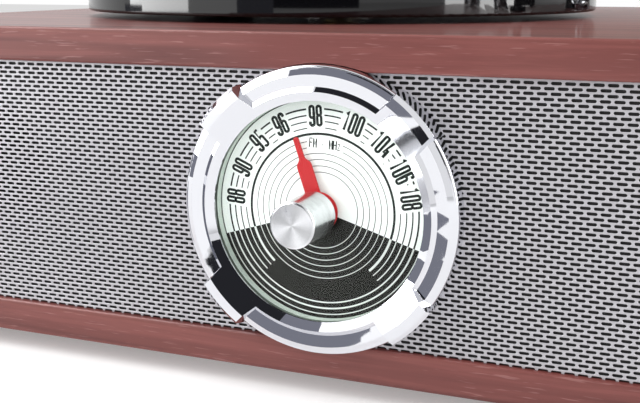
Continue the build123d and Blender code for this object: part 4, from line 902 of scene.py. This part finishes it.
# %% [markdown]
# Pieces with round bodies are turned, as a lathe would: a ring of points is pushed along the axis
# and scaled through a profile. The mat's ribs hold a record by friction and let air out from under
# it, so each is a low, flat-topped ring.
# %% Mat ribs
def turned_piece(profile, place, steps=96, tip=None):
    """Turns a profile of radius and height round an upright axis, then tips and moves the piece."""
    bpy.ops.object.select_all(action="DESELECT")
    bpy.ops.mesh.primitive_circle_add(vertices=steps, radius=profile[0][0], location=(0, 0, profile[0][1]))
    piece = bpy.context.object
    bpy.ops.object.transform_apply(location=True)
    edit_all(piece)
    for (radius, height), (next_radius, next_height) in zip(profile, profile[1:]):
        extrude_rim(z=next_height - height)
        bpy.ops.transform.resize(value=(next_radius / radius, next_radius / radius, 1))
    bpy.ops.mesh.select_all(action="SELECT")
    bpy.ops.mesh.remove_doubles(threshold=0.002 * mm)
    bpy.ops.mesh.normals_make_consistent(inside=False)
    leave_edit()
    bpy.ops.object.shade_smooth_by_angle(angle=radians(smooth_below))
    piece.matrix_world = Matrix.Translation(place) @ (tip or Matrix.Identity(4))
    return piece


mat_low, mat_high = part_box("platter_mat")
mat_x, mat_y = (mat_low.x + mat_high.x) / 2, (mat_low.y + mat_high.y) / 2
mat_step = 0.4 * mm
rib_count = 20
first_rib = 53.0 * mm
rib_pitch = 2.5 * mm
rib_top = 0.22 * mm
rib_foot = 0.02 * mm
rib_flat = 0.9 * mm
rib_slope = 0.5 * mm
ribs_sunk = -0.05 * mm
ribs = [(first_rib - 0.6 * mm, ribs_sunk)]
for number in range(rib_count):
    start = first_rib + number * rib_pitch
    ribs += [
        (start - rib_slope, rib_foot),
        (start, rib_top),
        (start + rib_flat, rib_top),
        (start + 1.4 * mm, rib_foot),
    ]
ribs += [(ribs[-1][0] + 0.1 * mm, ribs_sunk), ribs[0]]
mat_ribs = turned_piece(ribs, (mat_x, mat_y, mat_high.z - mat_step), steps=128)
settle(mat_ribs, "mat_ribs", "platter_mat", rubber)
print("mat ribs", len(mat_ribs.data.polygons), "faces")

# %% [markdown]
# The two control knobs have straight knurls so that fingers don't slip. One knurl is a small bar
# with rounded edges, and the spin tool sets it round the knob. The deck carries an arc of short
# printed marks round each knob. The arc is the same for both and doesn't follow how far either turns.
# %% Control knobs
knurl_count = 44
knurl_size = (0.6 * mm, 0.85 * mm)
knurl_sunk = 0.15 * mm
mark_count = 11
mark_sweep = 135
mark_gap = 3.2 * mm
mark_width = 0.4 * mm
mark_depth = 0.04 * mm
mark_length = 1.7 * mm
end_mark_length = 2.6 * mm
deck_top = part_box("deck_board")[1].z


def knurls(knob):
    low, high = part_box(knob)
    middle = ((low.x + high.x) / 2, (low.y + high.y) / 2)
    radius = (high.x - low.x) / 2
    height = 0.62 * (high.z - low.z)
    bpy.ops.object.select_all(action="DESELECT")
    bpy.ops.mesh.primitive_cube_add(size=1, location=(radius - knurl_sunk, 0, 0))
    bar = bpy.context.object
    bar.scale = (*knurl_size, height)
    bpy.ops.object.transform_apply(location=True, scale=True)
    apply_modifier(bar, "BEVEL", width=0.2 * mm, segments=2)
    edit_all(bar)
    bpy.ops.mesh.spin(steps=knurl_count, angle=2 * pi, center=(0, 0, 0), axis=(0, 0, 1), dupli=True)
    bpy.ops.mesh.select_all(action="SELECT")
    bpy.ops.mesh.remove_doubles(threshold=0.002 * mm)
    leave_edit()
    bpy.ops.object.shade_smooth_by_angle(angle=radians(smooth_below))
    bar.location = (*middle, low.z + 0.45 * (high.z - low.z))
    return settle(bar, knob + "_knurls", knob, finish_of_node[knob])


def scale_marks(knob):
    low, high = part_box(knob)
    middle = Vector(((low.x + high.x) / 2, (low.y + high.y) / 2, deck_top))
    radius = (high.x - low.x) / 2 + mark_gap
    marks = []
    for number in range(mark_count):
        angle = radians(-mark_sweep + 2 * mark_sweep * number / (mark_count - 1))
        length = end_mark_length if number in (0, mark_count - 1) else mark_length
        bpy.ops.object.select_all(action="DESELECT")
        bpy.ops.mesh.primitive_cube_add(size=1)
        mark = bpy.context.object
        mark.scale = (mark_width, length, mark_depth)
        bpy.ops.object.transform_apply(scale=True)
        apply_modifier(mark, "BEVEL", width=0.012 * mm, segments=1)
        turned_by = Matrix.Rotation(-angle, 4, "Z")
        mark.matrix_world = Matrix.Translation(middle) @ turned_by @ Matrix.Translation((0, radius, 0))
        bpy.ops.object.transform_apply(location=True, rotation=True)
        marks.append(mark)
    return settle(join_all(marks), knob + "_scale", "deck_board", pale_ink)


for knob in ("volume_knob", "selector_knob"):
    print(knurls(knob).name, scale_marks(knob).name)

# %% [markdown]
# On the back, each phono socket has a plastic ring in the usual colour of its channel, white for
# left and red for right. The ring fits on the socket's barrel and stands a little off the panel.
# %% Socket rings
socket_low, socket_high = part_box("rca_sockets")
socket_z = (socket_low.z + socket_high.z) / 2
socket_spacing = 18.0 * mm
socket_radius = 4.15 * mm
ring_radius = 5.9 * mm
ring_depth = 1.3 * mm
ring_stand = 0.9 * mm
ring_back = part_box("back_panel")[1].y + ring_stand
ring_profile = [
    (socket_radius, 0.0),
    (ring_radius, 0.0),
    (ring_radius, 0.9 * mm),
    (5.5 * mm, ring_depth),
    (socket_radius, ring_depth),
    (socket_radius, 0.0),
]
lying_back = Matrix.Rotation(-pi / 2, 4, "X")
ring_white = coated("socket_white", colour(222, 220, 214), 0.4)
ring_red = coated("socket_red", colour(168, 34, 36), 0.4)
reach_in = (socket_high.x - socket_low.x) / 2 - socket_spacing / 2
for channel, side, finish in (
    ("right", socket_low.x + reach_in, ring_red),
    ("left", socket_high.x - reach_in, ring_white),
):
    ring = turned_piece(ring_profile, (side, ring_back, socket_z), steps=48, tip=lying_back)
    settle(ring, "socket_ring_" + channel, "rca_sockets", finish)
print("socket rings", ring_red.name, ring_white.name)

# %% [markdown]
# The set is a white table under soft light, white right out to the sky, for the camera and for
# whatever glass and metal show. The table is white paint. A little of its own light is added for
# the lens and for reflections alone, so that it stays white where the lamps fade, and a shadow on
# it is still darker than the rest.
# %% Table and sky
def stage_sheet(name, size, place, facing=(0, 0, 0)):
    bpy.ops.object.select_all(action="DESELECT")
    bpy.ops.mesh.primitive_plane_add(size=1, location=place, rotation=facing)
    sheet = bpy.context.object
    sheet.scale = (size[0], size[1], 1)
    bpy.ops.object.transform_apply(location=True, rotation=True, scale=True)
    sheet.name = name
    return sheet


def seen_directly(tree):
    """1 for rays from the lens, from a mirror or through glass, and 0 for the light that spreads."""
    path = add_node(tree, "LightPath")
    mirrored = calc(tree, "MAXIMUM", path.outputs["Is Glossy Ray"], path.outputs["Is Transmission Ray"])
    return calc(tree, "MAXIMUM", path.outputs["Is Camera Ray"], mirrored)


table_finish, tree, shader = new_finish("table_white")
shader.inputs["Base Color"].default_value = grey(0.85)
shader.inputs["Roughness"].default_value = 0.9
shader.inputs["Specular IOR Level"].default_value = 0.0
shader.inputs["Emission Color"].default_value = grey(1.0)
added = add_node(tree, "MapRange", {"Value": seen_directly(tree), "To Min": 0.0, "To Max": 0.3})
tree.links.new(added.outputs[0], shader.inputs["Emission Strength"])
table = stage_sheet("table", (8, 8), (0, 0, 0))
table.data.materials.append(table_finish)

sky = bpy.data.worlds.new("sky")
sky.use_nodes = True
bpy.context.scene.world = sky
tree = sky.node_tree
backdrop = tree.nodes["Background"]
backdrop.inputs["Color"].default_value = grey(1.0)
level = add_node(tree, "MapRange", {"Value": seen_directly(tree), "To Min": 0.5, "To Max": 1.0})
tree.links.new(level.outputs[0], backdrop.inputs["Strength"])
print("table and sky")

# %% [markdown]
# Three large area lamps light the object, from the left, the right and above. They are hidden from
# reflections, because what the metal shows is set up apart from them.
# %% Lamps
def lamp(name, place, aim, size, power):
    light = bpy.data.lights.new(name, "AREA")
    light.shape = "RECTANGLE"
    light.size, light.size_y = size
    light.energy = power
    holder = bpy.data.objects.new(name, light)
    bpy.context.scene.collection.objects.link(holder)
    holder.location = place
    holder.rotation_euler = (Vector(aim) - Vector(place)).to_track_quat("-Z", "Y").to_euler()
    holder.visible_glossy = False
    return holder


middle = (0.0, grille_y, dial_z)
lamp("left_box", (-1.1, -0.9, 0.7), middle, (0.9, 0.9), 9)
lamp("right_box", (1.2, -0.8, 0.8), middle, (0.9, 0.9), 6)
lamp("top_box", (0.0, -0.5, 1.5), (0.0, -0.1, 0.0), (1.6, 1.2), 9)
print("lamps", len(bpy.data.lights))

# %% [markdown]
# Chrome and gloss black need more than white to look right: dark things to show as well, and boxes
# brighter than white. These are cards and glowing sheets that only reflections see. Their places
# were read off the platter's black rim and the dial's ring, whose shapes are known: each bright or
# dark patch points back at its sheet. Some of those places are estimates.
# %% Soft boxes and cards for reflections
def only_reflected(sheet, finish):
    sheet.data.materials.append(finish)
    sheet.visible_camera = False
    sheet.visible_diffuse = False
    sheet.visible_transmission = False
    sheet.visible_shadow = False
    return sheet


def tone(name, strength, shade=(1, 1, 1, 1)):
    """A sheet that shows one even tone, whatever light falls on it: 1 is white, a soft box is more."""
    material, tree, shader = new_finish(name)
    shader.inputs["Base Color"].default_value = grey(0.0)
    shader.inputs["Specular IOR Level"].default_value = 0.0
    shader.inputs["Emission Color"].default_value = shade
    shader.inputs["Emission Strength"].default_value = strength
    return material


reach = 0.85


def standing_sheet(name, left, right, low, high, finish, distance=reach):
    """An upright sheet from one azimuth to another round the platter: 0 is ahead, minus is left."""
    around = radians((left + right) / 2)
    width = 2 * distance * tan(radians(right - left) / 2)
    place = (platter_x + distance * sin(around), platter_y - distance * cos(around), (low + high) / 2)
    sheet = stage_sheet(name, (width, high - low), place, (pi / 2, 0, around))
    return only_reflected(sheet, finish)


def lying_sheet(name, low, high, finish):
    """A sheet on the table between two corners, given as x and the distance ahead of the grille."""
    size = (high[0] - low[0], high[1] - low[1])
    place = ((low[0] + high[0]) / 2, grille_y - (low[1] + high[1]) / 2, 0.001)
    return only_reflected(stage_sheet(name, size, place), finish)


platter_low, platter_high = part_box("platter")
platter_x = (platter_low.x + platter_high.x) / 2
platter_y = (platter_low.y + platter_high.y) / 2
box_tone = tone("soft_box", 10.0)
spill_tone = tone("soft_box_spill", 1.6)
grey_tone = tone("grey_card", 0.26, (0.93, 0.95, 1.12, 1.0))
black_tone = tone("black_card", 0.025, (0.93, 0.95, 1.12, 1.0))
standing_sheet("box_left", -76, -39, 0.1, 1.6, box_tone)
standing_sheet("box_right", 62, 104, 0.04, 0.85, box_tone)
standing_sheet("spill_left", -48, -17, 0.0, 0.75, spill_tone, 0.87)
standing_sheet("card_low_left", -80, -45, 0.0, 0.11, grey_tone, 0.86)
standing_sheet("card_edge", -20, -5, 0.0, 0.5, grey_tone, 0.88)
standing_sheet("card_ahead", -6, 28, 0.08, 0.5, black_tone, 0.86)
standing_sheet("card_above", -40, 28, 0.5, 1.1, grey_tone, 0.9)
standing_sheet("card_high", -45, 35, 1.15, 2.6, black_tone, 0.84)
lying_sheet("card_on_table", (-0.45, 0.085), (-0.114, 0.32), grey_tone)
lying_sheet("card_on_table_ahead", (-0.16, 0.385), (-0.06, 0.8), black_tone)
print("stage set")
